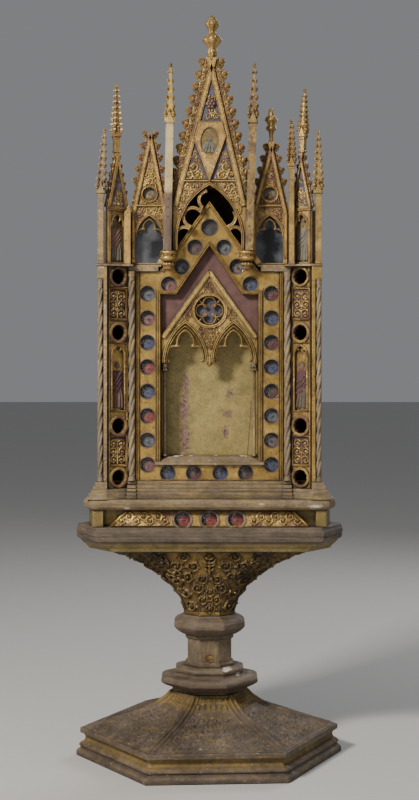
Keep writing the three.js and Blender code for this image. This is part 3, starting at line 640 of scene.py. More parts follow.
def make_finial(rows, x, y):
    """A lobed finial from (height, radius) rows."""
    heights, radii = np.array(rows, float).T
    levels = np.linspace(heights[0], heights[-1], 40)
    fine = list(zip(levels, np.interp(levels, heights, radii)))
    return shifted(turned(fine, 32, lobes=4, depth=0.3), x, y)


def gable_edge(apex, foot, front, back, coping, count, size, skip=0.0, bar=7.0, reach=1.0):
    """One raking edge: a flat bar inside, a leaf row on its coping and a row of crockets over a share
    of its length. The share given by skip is broken off at the top."""
    length = math.dist(apex, foot)
    middle = (front + back) / 2
    end = -length * skip
    parts = [sweep([(-length, -bar / 2), (end, -bar / 2)], flat_bar(bar, 3.8, front))]
    cover = [(-1, front + 1.4), (coping * 0.9, front + 1.4), (coping, middle), (coping * 0.8, back),
             (-1, back - 0.5)]
    parts.append(sweep([(-length, 0), (end, 0)], cover))
    row = oblong(-length + 1, 0.2, end - 1, coping)
    strokes = []
    for i in range(int(length / coping)):
        centre = (-length + (i + 0.5) * coping, coping * 0.5)
        if centre[0] < end:
            strokes += scroll(centre, coping * 0.5, 200, 1 if i % 2 else -1, 1.0)
    parts.append(relief(row, strokes, front + 1.3, gain=1.7, step=max(0.5, coping * 0.075), cap=4.0))
    for i in range(count):
        share = reach * (i + 0.55) / count
        if share >= skip:
            leafy = crocket(size, (back - front) * 0.9)
            parts.append(shifted(leafy, -length * share, middle, coping - 1.5))
    edge = merged(parts)
    if foot[0] < apex[0]:
        return moved(edge, slope_place(apex, foot))
    return mirrored(moved(edge, slope_place((-apex[0], apex[1]), (-foot[0], foot[1]))))


# ---------------------------------------------------------------- material nodes
def node(tree, kind, **values):
    """A new node. Each value goes to the input of that name, linked or set, or to the property."""
    made = tree.nodes.new(kind)
    for key, value in values.items():
        if isinstance(value, bpy.types.NodeSocket):
            tree.links.new(value, made.inputs[key.replace("_", " ")])
        elif key in {i.name.replace(" ", "_") for i in made.inputs}:
            made.inputs[key.replace("_", " ")].default_value = value
        else:
            setattr(made, key, value)
    return made


def put(tree, socket, value):
    """Links an output to the socket, or sets a number or a colour on it."""
    if isinstance(value, bpy.types.NodeSocket):
        tree.links.new(value, socket)
    else:
        socket.default_value = (*value, 1) if isinstance(value, tuple) else value


def finished(tree, shader, **values):
    """Puts values on the shader's sockets by name."""
    for name, value in values.items():
        put(tree, shader.inputs[name.replace("_", " ")], value)


def ramp(tree, source, *stops):
    """A colour ramp of (place, grey or colour) stops."""
    made = tree.nodes.new("ShaderNodeValToRGB")
    tree.links.new(source, made.inputs[0])
    elements = made.color_ramp.elements
    for i, (place, colour) in enumerate(stops):
        element = elements[i] if i < 2 else elements.new(place)
        element.position = place
        element.color = (*colour, 1) if isinstance(colour, tuple) else (colour, colour, colour, 1)
    return made.outputs["Color"]


def mix(tree, share, first, second, blend="MIX"):
    """Two colours mixed by a share."""
    made = node(tree, "ShaderNodeMix", data_type="RGBA", blend_type=blend)
    for number, value in ((0, share), (6, first), (7, second)):
        put(tree, made.inputs[number], value)
    return made.outputs[2]


def multiplied(tree, first, second):
    """Two colours multiplied."""
    return mix(tree, 1.0, first, second, "MULTIPLY")


def maths(tree, operation, *values):
    """The result of one step of arithmetic."""
    made = node(tree, "ShaderNodeMath", operation=operation)
    for socket, value in zip(made.inputs, values):
        put(tree, socket, value)
    return made.outputs[0]


def object_place(tree):
    """The place on the object in metres."""
    return node(tree, "ShaderNodeTexCoord").outputs["Object"]


def noise(tree, scale, detail=5.0, roughness=0.6, stretch=(1, 1, 1), seed=0.0):
    """A noise over the object in metres, so a scale of 100 gives marks about a centimetre across."""
    shift = node(tree, "ShaderNodeMapping", Vector=object_place(tree), Scale=stretch,
                 Location=(seed, seed * 0.7, 0))
    made = node(tree, "ShaderNodeTexNoise", Vector=shift.outputs[0], Scale=scale, Detail=detail,
                Roughness=roughness)
    return made.outputs["Fac"]


def surface(name):
    """A new material, its node tree and its shader."""
    material = bpy.data.materials.new(name)
    material.use_nodes = True
    tree = material.node_tree
    return material, tree, tree.nodes["Principled BSDF"]


def bumped(tree, shader, height, strength, distance):
    """Gives the shader a bump from a height."""
    bump = node(tree, "ShaderNodeBump", Height=height, Strength=strength, Distance=distance)
    tree.links.new(bump.outputs[0], shader.inputs["Normal"])


def crevices(tree, distance=0.012, inside=False):
    """Near 0 in deep hollows, or on thin edges when measured inside, and near 1 on open faces."""
    made = tree.nodes.new("ShaderNodeAmbientOcclusion")
    made.samples = 5
    made.inside = inside
    made.inputs["Distance"].default_value = distance
    return made.outputs["AO"]


def height_band(tree, low, high, soft=2.0, seed=0.0):
    """1 between two heights in millimetres, with a ragged edge, and 0 elsewhere."""
    height = node(tree, "ShaderNodeSeparateXYZ", Vector=object_place(tree)).outputs["Z"]
    halved = maths(tree, "MULTIPLY", height, 0.5)
    ragged = maths(tree, "MULTIPLY_ADD", noise(tree, 90, 4, 0.7, seed=seed), soft * MM, halved)
    stops = ((low, 0.0), (low + soft, 1.0), (high, 1.0), (high + soft, 0.0))
    return ramp(tree, ragged, *((value * MM * 0.5, share) for value, share in stops))


def blotch(tree, x, z, wide, tall, seed=0.0):
    """1 inside a ragged patch of an upright face, and 0 elsewhere. Sizes are half widths."""
    local = node(tree, "ShaderNodeMapping", Vector=object_place(tree), Location=(-x / wide, 0, -z / tall),
                 Scale=(1 / (wide * MM), 0, 1 / (tall * MM)))
    length = node(tree, "ShaderNodeVectorMath", operation="LENGTH")
    tree.links.new(local.outputs[0], length.inputs[0])
    ragged = maths(tree, "MULTIPLY_ADD", noise(tree, 110, 8, 0.8, seed=seed), 2.6, length.outputs["Value"])
    return ramp(tree, maths(tree, "MULTIPLY", ragged, 0.25), (0.4, 1.0), (0.47, 0.0))


def speckled(tree, colour, gesso, seed):
    """Dark pits, and chips that show pale gesso."""
    pits = ramp(tree, noise(tree, 330, 4, 0.6, seed=seed), (0.62, 0.0), (0.68, 0.85))
    colour = mix(tree, pits, colour, (0.035, 0.022, 0.013))
    chips = ramp(tree, noise(tree, 150, 7, 0.75, seed=seed + 2), (1 - gesso, 0.0), (1.015 - gesso, 1.0))
    return mix(tree, chips, colour, (0.5, 0.43, 0.34))


def stained(tree, colour, seed, low=0.45):
    """Old soiling in broad clouds, with finer streaks."""
    broad = ramp(tree, noise(tree, 9, 6, 0.65, seed=seed), (0.32, low), (0.66, 1.0))
    fine = ramp(tree, noise(tree, 55, 8, 0.7, seed=seed + 4), (0.3, 0.62), (0.6, 1.0))
    return multiplied(tree, multiplied(tree, colour, broad), fine)


def craquelure(tree, seed):
    """Fine cracks, as ageing gesso has: 0 on a crack, 1 elsewhere."""
    place = object_place(tree)
    warp = node(tree, "ShaderNodeTexNoise", Vector=place, Scale=60 + seed)
    bent = mix(tree, 0.012, place, warp.outputs["Color"])
    cells = node(tree, "ShaderNodeTexVoronoi", Vector=bent, Scale=190.0, feature="DISTANCE_TO_EDGE")
    return ramp(tree, cells.outputs["Distance"], (0.0, 0.0), (0.035, 1.0))


# ---------------------------------------------------------------- materials
WHITE, BLACK = (1.0,) * 3, (0.0,) * 3


def gilding(name, light, dark, bole=(0.17, 0.06, 0.035), worn=0.56, hollow_dirt_and_shade=0.75, metal=0.85, gesso=0.3,
            hollow_dirt_and_shade_colour=(0.03, 0.019, 0.009), low=0.45, losses=()):
    """Old water gilding: uneven gold, red-brown bole where it is rubbed, and painted shade in the hollows,
    which stands also for soiling there.
    """
    material, tree, shader = surface(name)
    gold = mix(tree, ramp(tree, noise(tree, 26, 8, 0.7), (0.36, 0.0), (0.62, 1.0)), dark, light)
    rubbed = ramp(tree, noise(tree, 75, 10, 0.78, seed=3), (worn, 0.0), (worn + 0.06, 1.0))
    arris = ramp(tree, crevices(tree, 0.0022, inside=True), (0.35, 1.0), (0.75, 0.0))
    patchy = ramp(tree, noise(tree, 45, 6, 0.7, seed=6), (0.44, 0.0), (0.56, 1.0))
    rubbed = mix(tree, multiplied(tree, arris, patchy), rubbed, WHITE)
    colour = stained(tree, mix(tree, rubbed, gold, bole), 11, low)
    for i, loss in enumerate(losses):
        scabbed = ramp(tree, noise(tree, 200, 5, 0.7, seed=40 + i), (0.4, (0.1, 0.05, 0.035)),
                       (0.62, (0.3, 0.2, 0.15)))
        colour = mix(tree, blotch(tree, *loss, seed=30 + i), colour, scabbed)
    colour = speckled(tree, colour, gesso, 15)
    cracks = craquelure(tree, 1)
    colour = mix(tree, 0.45, colour, multiplied(tree, colour, cracks))
    # Painted shade: where occlusion finds a hollow, the colour goes towards a near-black one and the metal is
    # taken away. It stands also for soiling in the hollows.
    hollow = ramp(tree, crevices(tree, 0.009), (0.35, 1.0), (hollow_dirt_and_shade + 0.17, 0.0))
    dull = mix(tree, rubbed, (metal,) * 3, BLACK)
    finished(tree, shader, Base_Color=mix(tree, hollow, colour, hollow_dirt_and_shade_colour),
             Metallic=mix(tree, hollow, dull, BLACK),
             Roughness=ramp(tree, noise(tree, 170, 6, 0.65, seed=5), (0.32, 0.28), (0.7, 0.62)))
    height = mix(tree, 0.35, noise(tree, 300, 9, 0.75, seed=2), cracks)
    bumped(tree, shader, height, 0.5, 0.0016)
    return material


def worn_wood(name, wood, pale, gold, gold_share=0.56, grain=(1, 1, 9), gesso=0.31, metal=0.6, bands=(),
              chips=(), gilt_scale=34):
    """Grey-brown wood with worn paint: pale scuffs, traces of gold and chips of gesso. Each band is a
    pair of heights between which most of the gold is left. Each chip is a patch of bare gesso."""
    material, tree, shader = surface(name)
    streaks = ramp(tree, noise(tree, 24, 9, 0.75, stretch=grain), (0.36, 0.0), (0.66, 1.0))
    base = mix(tree, streaks, wood, pale)
    gilt = ramp(tree, noise(tree, gilt_scale, 11, 0.8, seed=4, stretch=grain), (gold_share, 0.0),
                (gold_share + 0.12, 0.85))
    for low, high in bands:
        left = ramp(tree, noise(tree, 70, 8, 0.75, seed=low), (0.38, 0.0), (0.5, 0.9))
        gilt = mix(tree, height_band(tree, low, high), gilt, left)
    colour = stained(tree, mix(tree, gilt, base, gold), 21, 0.5)
    colour = speckled(tree, colour, gesso, 25)
    for i, chip in enumerate(chips):
        colour = mix(tree, blotch(tree, *chip, seed=60 + i), colour, (0.64, 0.57, 0.47))
    # Painted shade: the colour goes towards near black in hollows found by occlusion, standing also for
    # soiling there.
    hollow = ramp(tree, crevices(tree, 0.014), (0.3, 1.0), (0.9, 0.0))
    finished(tree, shader, Base_Color=mix(tree, hollow, colour, (0.016, 0.011, 0.007)),
             Metallic=mix(tree, gilt, BLACK, (metal,) * 3),
             Roughness=ramp(tree, noise(tree, 120, 5, 0.6), (0.3, 0.42), (0.7, 0.8)))
    height = mix(tree, 0.4, noise(tree, 240, 10, 0.8, stretch=grain, seed=6), noise(tree, 60, 8, 0.7, seed=9))
    bumped(tree, shader, height, 0.75, 0.004)
    return material


def bare_shaft(name, low, high):
    """A pinnacle that has lost its gold: bare brown wood below, fresh pale wood to a height, gold above."""
    material, tree, shader = surface(name)
    grain = noise(tree, 60, 9, 0.75, stretch=(1, 1, 0.08), seed=2)
    brown = ramp(tree, grain, (0.38, (0.07, 0.04, 0.028)), (0.64, (0.26, 0.165, 0.1)))
    pale = ramp(tree, grain, (0.35, (0.5, 0.36, 0.15)), (0.65, (0.72, 0.55, 0.28)))
    gold = ramp(tree, noise(tree, 45, 8, 0.7), (0.4, (0.3, 0.19, 0.07)), (0.6, (0.62, 0.42, 0.14)))
    colour = mix(tree, height_band(tree, low, high), brown, pale)
    upper = height_band(tree, high + 2, high + 400)
    colour = speckled(tree, mix(tree, upper, colour, gold), 0.3, 25)
    finished(tree, shader, Base_Color=stained(tree, colour, 21, 0.65),
             Metallic=mix(tree, upper, BLACK, (0.7,) * 3), Roughness=0.6)
    bumped(tree, shader, grain, 0.5, 0.002)
    return material


def paint(name, first, second, roughness=0.7, worn=0.57, under=(0.3, 0.2, 0.08)):
    """Rubbed matt paint, with the ground showing through."""
    material, tree, shader = surface(name)
    colour = mix(tree, ramp(tree, noise(tree, 60, 6, 0.6), (0.35, 0.0), (0.65, 1.0)), first, second)
    rubbed = ramp(tree, noise(tree, 120, 9, 0.78, seed=7), (worn, 0.0), (worn + 0.08, 1.0))
    colour = stained(tree, mix(tree, rubbed, colour, under), 31, 0.55)
    # Painted shade: the colour goes towards near black in hollows found by occlusion, standing also for
    # soiling there.
    hollow = ramp(tree, crevices(tree, 0.008), (0.25, 1.0), (0.85, 0.0))
    finished(tree, shader, Base_Color=mix(tree, hollow, colour, (0.02, 0.013, 0.01)), Roughness=roughness)
    bumped(tree, shader, noise(tree, 400, 7, 0.75), 0.35, 0.001)
    return material


def plain_cloth(name, colour):
    """Plain woven cloth behind a relic glass."""
    material, tree, shader = surface(name)
    shade = ramp(tree, noise(tree, 140, 5, 0.6), (0.35, 0.6), (0.65, 1.15))
    finished(tree, shader, Base_Color=multiplied(tree, colour, shade), Roughness=0.85)
    return material


def clear_glass(name):
    """Old clear glass: thin enough to see through, with a bright reflection."""
    material, tree, shader = surface(name)
    finished(tree, shader, Base_Color=(0.2, 0.2, 0.2), Roughness=0.08, IOR=1.6, Specular_IOR_Level=0.8,
             Alpha=0.09)
    return material


def dusty_glass(name):
    """Dark window glass whose colour carries soft pale clouds: painted reflections."""
    material, tree, shader = surface(name)
    # Painted reflections: soft pale clouds in the glass's own colour.
    painted_reflections = ramp(tree, noise(tree, 22, 5, 0.5), (0.42, (0.006, 0.007, 0.009)), (0.62, (0.1, 0.105, 0.12)))
    finished(tree, shader, Base_Color=painted_reflections, Roughness=0.16)
    return material


def make_materials():
    """Every finish by name. Gold, wood and paint each come in several states of wear."""
    light, dark = (0.66, 0.44, 0.13), (0.4, 0.25, 0.065)
    return {
        "gilding": gilding("aged_gilding", light, dark, low=0.55),
        "crown_gilding": gilding("crown_gilding", (0.76, 0.51, 0.18), (0.48, 0.3, 0.1),
                                 bole=(0.3, 0.15, 0.08), worn=0.56, gesso=0.33, low=0.62),
        "carved_gilding": gilding("carved_gilding", (0.8, 0.56, 0.2), (0.5, 0.33, 0.1), worn=0.6,
                                  hollow_dirt_and_shade=0.68, low=0.68),
        "dark_gilding": gilding("dark_gilding", (0.42, 0.27, 0.08), (0.16, 0.1, 0.03), worn=0.53,
                                bole=(0.07, 0.035, 0.02), hollow_dirt_and_shade=0.83, hollow_dirt_and_shade_colour=(0.012, 0.008, 0.005)),
        "dull_gilding": gilding("dull_gilding", (0.46, 0.33, 0.16), (0.26, 0.18, 0.1), worn=0.5,
                                bole=(0.2, 0.13, 0.09), metal=0.45, gesso=0.36, low=0.6),
        "olive_gilding": gilding("olive_gilding", (0.36, 0.27, 0.09), (0.24, 0.17, 0.05), metal=0.4),
        "niche_gold": gilding("niche_gold", (0.42, 0.33, 0.12), (0.33, 0.25, 0.085), worn=0.63,
                              bole=(0.16, 0.1, 0.06), metal=0.3, hollow_dirt_and_shade=0.5, gesso=0.31, low=0.7,
                              losses=((-45, 578, 20, 62), (-46, 636, 19, 62), (-44, 680, 14, 46),
                                      (37.7, 662, 15, 17), (34.8, 624, 18, 15), (30, 592, 13, 26))),
        "ring_wood": worn_wood("ring_wood", (0.2, 0.125, 0.085), (0.38, 0.27, 0.19), (0.4, 0.27, 0.1),
                               gold_share=0.6, grain=(1, 1, 1), gesso=0.36),
        "rope_wood": worn_wood("rope_wood", (0.2, 0.14, 0.09), (0.42, 0.33, 0.24), (0.5, 0.35, 0.13),
                               gold_share=0.47, grain=(1, 1, 1), gesso=0.36, gilt_scale=80),
        "reed_wood": worn_wood("reed_wood", (0.17, 0.12, 0.082), (0.4, 0.3, 0.2), (0.56, 0.4, 0.16),
                               gold_share=0.46, grain=(0.4, 1, 4), gesso=0.35, gilt_scale=70,
                               chips=((190, 461, 24, 7), (-150, 458, 10, 4), (92, 466, 11, 4))),
        "flaking": worn_wood("flaking", (0.26, 0.15, 0.085), (0.4, 0.28, 0.17), (0.56, 0.38, 0.14),
                             gold_share=0.46, grain=(1, 1, 3), gesso=0.41),
        "worn_wood": worn_wood("worn_wood", (0.1, 0.07, 0.048), (0.25, 0.185, 0.13), (0.4, 0.26, 0.08),
                               gold_share=0.53, grain=(0.4, 1, 7), gilt_scale=50,
                               chips=((31, 163, 15, 6), (51, 153, 9, 6))),
        "shaft_wood": worn_wood("shaft_wood", (0.1, 0.07, 0.045), (0.24, 0.18, 0.12), (0.42, 0.29, 0.1),
                                gold_share=0.5, grain=(3, 3, 0.7), gilt_scale=60),
        "shelf_wood": worn_wood("shelf_wood", (0.1, 0.07, 0.048), (0.25, 0.185, 0.13), (0.36, 0.27, 0.09),
                                gold_share=0.57, grain=(0.4, 1, 7), gesso=0.33, bands=((379, 394),),
                                gilt_scale=60),
        "foot_wood": worn_wood("foot_wood", (0.075, 0.05, 0.034), (0.22, 0.16, 0.11), (0.4, 0.27, 0.09),
                               gold_share=0.52, grain=(0.6, 0.6, 2), gesso=0.37, gilt_scale=55,
                               bands=((25, 41), (98, 119))),
        "bare_wood": worn_wood("bare_wood", (0.03, 0.02, 0.012), (0.085, 0.058, 0.038), (0.1, 0.07, 0.03),
                               gold_share=0.9, grain=(9, 1, 1), gesso=0.1),
        "bare_shaft": bare_shaft("bare_shaft", 1029, 1148),
        "brown_gilding": gilding("brown_gilding", (0.58, 0.39, 0.14), (0.28, 0.18, 0.075), worn=0.51,
                                 bole=(0.15, 0.08, 0.045), metal=0.55, gesso=0.33, low=0.6),
        "rose_paint": paint("rose_paint", (0.11, 0.045, 0.04), (0.16, 0.075, 0.062),
                            under=(0.08, 0.045, 0.03)),
        "blue_paint": paint("blue_paint", (0.05, 0.048, 0.085), (0.13, 0.115, 0.16)),
        "purple_paint": paint("purple_paint", (0.15, 0.045, 0.05), (0.09, 0.04, 0.05)),
        "grey_paint": paint("grey_paint", (0.13, 0.125, 0.1), (0.24, 0.22, 0.16)),
        "mauve_paint": paint("mauve_paint", (0.17, 0.085, 0.07), (0.25, 0.14, 0.11)),
        "dark_paint": paint("dark_paint", (0.075, 0.055, 0.04), (0.13, 0.1, 0.07)),
        "flesh_paint": paint("flesh_paint", (0.24, 0.17, 0.1), (0.17, 0.115, 0.075), worn=0.65),
        "dark_line": paint("dark_line", (0.05, 0.03, 0.02), (0.07, 0.04, 0.03), worn=0.9),
        "gesso": paint("bare_gesso", (0.62, 0.56, 0.46), (0.74, 0.69, 0.6), worn=0.75, under=(0.4, 0.3, 0.2)),
        # Near-black paint for the insides of the relic openings: painted shade.
        "recess": paint("relic_recess", (0.035, 0.02, 0.018), (0.07, 0.035, 0.032)),
        "glass": clear_glass("relic_glass"),
        "window": dusty_glass("dusty_glass"),
        "bone": paint("relic_bone", (0.55, 0.48, 0.36), (0.7, 0.64, 0.5), roughness=0.5, worn=0.7),
    }


# ---------------------------------------------------------------- stage
def make_camera():
    """A level camera straight in front, at about half the object's height."""
    distance, height, focal_length, drop = 2.736, 0.7056, 66.78, 0.0375
    camera = bpy.data.cameras.new("camera")
    camera.lens = focal_length
    camera.sensor_width = 36
    camera.shift_y = -drop
    holder = bpy.data.objects.new("camera", camera)
    holder.location = (0, -distance, height)
    holder.rotation_euler = (math.pi / 2, 0, 0)
    bpy.context.scene.collection.objects.link(holder)
    bpy.context.scene.camera = holder


def area_light(name, place, aim, size, power, colour):
    """A square lamp that shines from its place towards aim."""
    light = bpy.data.lights.new(name, "AREA")
    light.size = size
    light.energy = power
    light.color = colour
    holder = bpy.data.objects.new(name, light)
    holder.location = place
    holder.rotation_euler = (Vector(aim) - Vector(place)).to_track_quat("-Z", "Y").to_euler()
    holder.visible_camera = False
    bpy.context.scene.collection.objects.link(holder)


def make_stage():
    """A pale floor, and soft light from the upper left in front."""
    reach = 30.0
    mesh = bpy.data.meshes.new("floor")
    mesh.from_pydata([(reach * x, reach * y, 0) for x, y in CORNERS], [], [(0, 1, 2, 3)])
    floor = bpy.data.objects.new("floor", mesh)
    material, tree, shader = surface("floor")
    finished(tree, shader, Base_Color=(0.5, 0.49, 0.475), Roughness=0.9)
    mesh.materials.append(material)
    bpy.context.scene.collection.objects.link(floor)
    world = bpy.data.worlds.new("studio")
    world.use_nodes = True
    sky = world.node_tree.nodes["Background"]
    finished(world.node_tree, sky, Color=(0.78, 0.8, 0.84), Strength=0.27)
    bpy.context.scene.world = world
    middle, foot = (0, 0, 0.8), (0, 0, 0.2)
    lights = (
        ("key", (-1.5, -2.0, 2.3), middle, 0.45, 126, (1.0, 0.95, 0.86)),
        ("fill", (2.2, -2.2, 1.0), middle, 1.6, 11, (0.92, 0.95, 1.0)),
        ("low", (-0.5, -2.6, 0.5), foot, 1.2, 8, (1.0, 0.95, 0.88)),
        ("rim", (1.3, 2.0, 2.2), middle, 1.0, 30, (1, 1, 1)),
    )
    for light in lights:
        area_light(*light)


# ---------------------------------------------------------------- CAD nodes that stay
def finish_cad_nodes(materials):
    """Gives every CAD node that stays its finish, and eases its arrises."""
    finishes = {
        "foot_plinth": ("foot_wood", 1.6), "lower_knop": ("worn_wood", 1.6),
        "upper_knop": ("worn_wood", 1.6), "stem_shaft": ("shaft_wood", 1.0),
        # predella_core takes the darker olive gilding: the olive tone is its own, and the extra darkness is
        # painted shade, matched to posts that lie in the shadow of the cornice.
        "shelf": ("shelf_wood", 1.3), "predella_core": ("olive_gilding", 0.8),
        "predella_panel": ("gilding", 0.7), "cornice": ("reed_wood", 1.6),
        "base_moulding": ("reed_wood", 0.9), "backing_board": ("rose_paint", 0.4),
        "niche_sill": ("rope_wood", 0.7), "niche_lining": ("bare_wood", 0.4),
        "niche_panel": ("niche_gold", 0.4), "back_board": ("bare_wood", 1.0),
        "roof_board": ("bare_wood", 0.8), "inner_pinnacle_stub_left": ("crown_gilding", 0.6),
        "corner_post_left": ("flaking", 1.0), "corner_post_right": ("gilding", 1.0),
    }
    for side in SIDES:
        finishes[f"side_board_{side}"] = ("worn_wood", 0.8)
        finishes[f"wing_{side}"] = ("gilding", 0.5)
        finishes[f"sill_{side}"] = ("dull_gilding", 0.8)
    for name, (finish, easing) in finishes.items():
        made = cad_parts[name]
        made.data.materials.clear()
        made.data.materials.append(materials[finish])
        weld = made.modifiers.new("weld", "WELD")
        weld.merge_threshold = 0.02 * MM
        bevel = made.modifiers.new("ease", "BEVEL")
        bevel.width = easing * MM
        bevel.segments = 2
        bevel.limit_method = "ANGLE"
        bevel.angle_limit = math.radians(28)
    for side in SIDES:
        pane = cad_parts[f"window_pane_{side}"]
        pane.data.materials.clear()
        pane.data.materials.append(materials["window"])


# ---------------------------------------------------------------- foot and capital
BELL_PROFILE = [(51.3, 234), (56, 216), (63, 191), (72, 159), (82, 125), (94, 100), (106, 82), (119.2, 70)]
CAPITAL_RINGS = [
    (259.3, 19, 46, 46, 19), (265, 20, 50, 50, 20), (278, 22, 50, 54, 21), (291, 25, 50, 60, 22),
    (302, 30, 51, 69, 21), (314, 36, 52, 79, 20), (325, 44, 53, 91, 18), (335, 52, 54, 105, 16),
    (343, 60, 55.5, 118, 14), (350, 68, 57, 130, 12), (358, 80, 58.5, 148, 9.5), (364, 89, 60, 166, 7),
    (372, 105, 61, 196, 4), (378, 118, 62, 215, 3),
]
FRONT_SCROLLS = [
    (0, 14, 10), (13, 30, 9), (0, 44, 9), (22, 52, 11), (40, 72, 12), (14, 68, 10), (28, 92, 11),
    (62, 92, 12), (86, 106, 11), (48, 110, 10), (108, 113, 8),
]
DIAGONAL_SCROLLS = [
    (0, 18, 12), (0, 44, 13), (0, 74, 15), (22, 96, 13), (0, 112, 14), (27, 128, 14), (0, 146, 14),
    (34, 158, 13), (12, 172, 12),
]


def bell_height(side, where):
    """Each face of the foot's bell: worn scrolls below, a band of upright leaves at the neck, and ribs."""
    strokes = scrolled([(-108, 6), (108, 6), (40, 118), (-40, 118)], 10.5, 17)
    for x in range(-35, 36, 10):
        strokes += leaf((x, 132), 90, 26, 0, 3, 0.3)
    height = np.minimum(carved_height(where[:, :2], strokes, 1.25), 4.2)
    width = np.abs(where[:, 0]) / np.maximum(1e-6, np.abs(where[:, 2] - 0.5)) / 2
    edge = np.maximum(0, width - np.abs(where[:, 0]))
    rib = 5.0 * np.exp(-((edge - 5) / 2.8) ** 2) + 2.6 * np.exp(-((edge - 13) / 2.0) ** 2)
    height = np.where(edge < 16, rib, height)
    ends = eased(where[:, 3] / 0.06) * eased((1 - where[:, 3]) / 0.04)
    return (height - 2.4) * ends


def capital_height(side, where):
    """Tiers of rolled acanthus, with a fan leaf under the shelf in the middle of the front and back."""
    wide = side in (3, 7)
    strokes = []
    for i, (x, climb, size) in enumerate(FRONT_SCROLLS if wide else DIAGONAL_SCROLLS):
        for way in (-1, 1) if x else (1,):
            hand = way * (1 if i % 2 else -1)
            strokes += scroll((way * x, climb), size, 90 + hand * 70, hand, 1.3)
    if wide:
        strokes += leaf((0, 78), 90, 38, 0, 5, 0.45) + leaf((0, 1), 90, 20, 0, 3, 0.5)
    height = np.minimum(carved_height(where[:, :2], strokes, 2.2), 9.5)
    ends = eased(where[:, 3] / 0.05) * eased((1 - where[:, 3]) / 0.05)
    return (height - 7.0) * ends


def make_foot_and_capital(materials):
    """The foot's carved bell, the leafy capital under the shelf and a roundel on the shaft."""
    bell = [(z, circle(0, 0, radius, 6)) for z, radius in BELL_PROFILE]
    part = wrapped_relief(bell, [110] * 6, 110, bell_height)
    piece("foot_bell_carved", part, materials["foot_wood"], ["foot_bell"],
          Matrix.Rotation(FOOT_TURN, 4, "Z"))
    rings = [(z, octagon_plan(*halves)) for z, *halves in CAPITAL_RINGS]
    counts = [80, 20, 80, 140, 80, 20, 80, 140]
    part = wrapped_relief(rings, counts, 130, capital_height)
    piece("capital_carved", part, materials["dark_gilding"], ["capital"])
    roundel = [ring(0, 182, [(5.5, -39), (5.5, -40.6), (7, -41.4), (8.6, -40.8), (9, -39)], 28),
               disc(0, 182, 5.6, -40.2, dome=0.8)]
    piece("shaft_roundel", merged(roundel), materials["gilding"])


# ---------------------------------------------------------------- predella
def make_predella(materials):
    """Leaf panels, mouldings and three ringed openings on the sloping predella."""
    tilt = math.atan2(PREDELLA_SLOPE, PREDELLA_TOP - SHELF_TOP)
    place = Matrix.Translation((0, PREDELLA_FRONT, SHELF_TOP)) @ Matrix.Rotation(-tilt, 4, "X")
    leaves, parts = [], []
    for side in (-1, 1):
        strokes = []
        for i, x in enumerate((80, 93, 106, 119, 132, 145, 158)):
            strokes += scroll((side * x, 15 + (4 if i % 2 else -4)), 8.5, 90, side * (1 if i % 2 else -1))
        field = [(side * 70, 2), (side * 174, 2), (side * 148, 28), (side * 70, 28)]
        leaves.append(relief(field, strokes, -0.2, gain=2.0, step=0.7))
        parts.append(sweep([(side * 177, 1.5), (side * 150, 28)], ridge(6, 3, 0)))
    piece("predella_leaves", merged(leaves), materials["carved_gilding"], place=place)
    parts.append(sweep([(-178, 1.6), (178, 1.6)], ridge(2.4, 1.6, 0)))
    parts.append(sweep([(-152, 28.5), (152, 28.5)], ridge(2.4, 1.6, 0)))
    piece("predella_mouldings", merged(parts), materials["gilding"], place=place)
    bead = [(14.1, 8), (14.1, -0.8), (15.2, -2), (16.6, -1.6), (17.6, -2.2), (18.6, -0.6), (18.6, 1)]
    rings = [ring(x, 13.6, bead) for x in PREDELLA_RELICS]
    piece("predella_rings", merged(rings), materials["ring_wood"], place=place)


# ---------------------------------------------------------------- relics
RELIC_CLOTH = {
    "blue": (0.05, 0.062, 0.16), "slate": (0.12, 0.13, 0.17), "red": (0.34, 0.025, 0.018),
    "wine": (0.15, 0.02, 0.018), "rose": (0.26, 0.08, 0.08), "brown": (0.1, 0.036, 0.025),
    "mauve": (0.18, 0.11, 0.11), "dark": (0.02, 0.018, 0.02),
}
LEFT_COLUMN = ["rose", "slate", "red", "blue", "red", "blue", "rose", "slate"]
RIGHT_COLUMN = ["blue", "mauve", "slate", "brown", "blue", "wine", "blue", "wine"]
BOTTOM_ROW_Z = 519
BOTTOM_ROW = [(-75.7, "blue"), (-28.3, "wine"), (19.6, "blue"), (65.4, "brown")]
# The top opening takes the near-black dark cloth, which is painted shade: that opening lies in the shadow of
# the canopy.
CHEVRON = [(0, 964, "dark", "dark"), (26.4, 928, "brown", "slate"), (50, 893, "slate", "mauve"),
           (74, 861, "rose", "blue")]
CHEVRON_TOP_RADIUS = 14.6


def relic_places():
    """Every relic opening in the front: x, z, radius and cloth."""
    across, bottom, pitch = RELIC_COLUMN.values()
    places = [(side * across, bottom + i * pitch, RELIC_RADIUS, cloth)
              for side, column in ((-1, LEFT_COLUMN), (1, RIGHT_COLUMN)) for i, cloth in enumerate(column)]
    places += [(x, BOTTOM_ROW_Z, RELIC_RADIUS, cloth) for x, cloth in BOTTOM_ROW]
    for x, z, left, right in CHEVRON:
        if x:
            places += [(-x, z, RELIC_RADIUS, left), (x, z, RELIC_RADIUS, right)]
        else:
            places.append((x, z, CHEVRON_TOP_RADIUS, left))
    return places


def relic_bundle(x, z, y):
    """A fragment: a few small pale lumps together, low on the right of its opening."""
    parts = []
    for _ in range(3):
        size = rng.uniform(1.4, 2.5)
        dx, dz = rng.uniform(0.0, 4.0), rng.uniform(-5, 0)
        parts.append(disc(x + dx, z + dz, size, y, steps=14, dome=0.6 * size, rings=3))
    return merged(parts)


def lit_cloth_pad(x, z, radius, y):
    """A padded cloth set low on the right of its opening: with the near-black ground round it, it paints the
    lit crescent of an opening shaded at its upper left.
    """
    return disc(x + 0.2 * radius, z - 0.22 * radius, 0.68 * radius, y, dome=1.1)


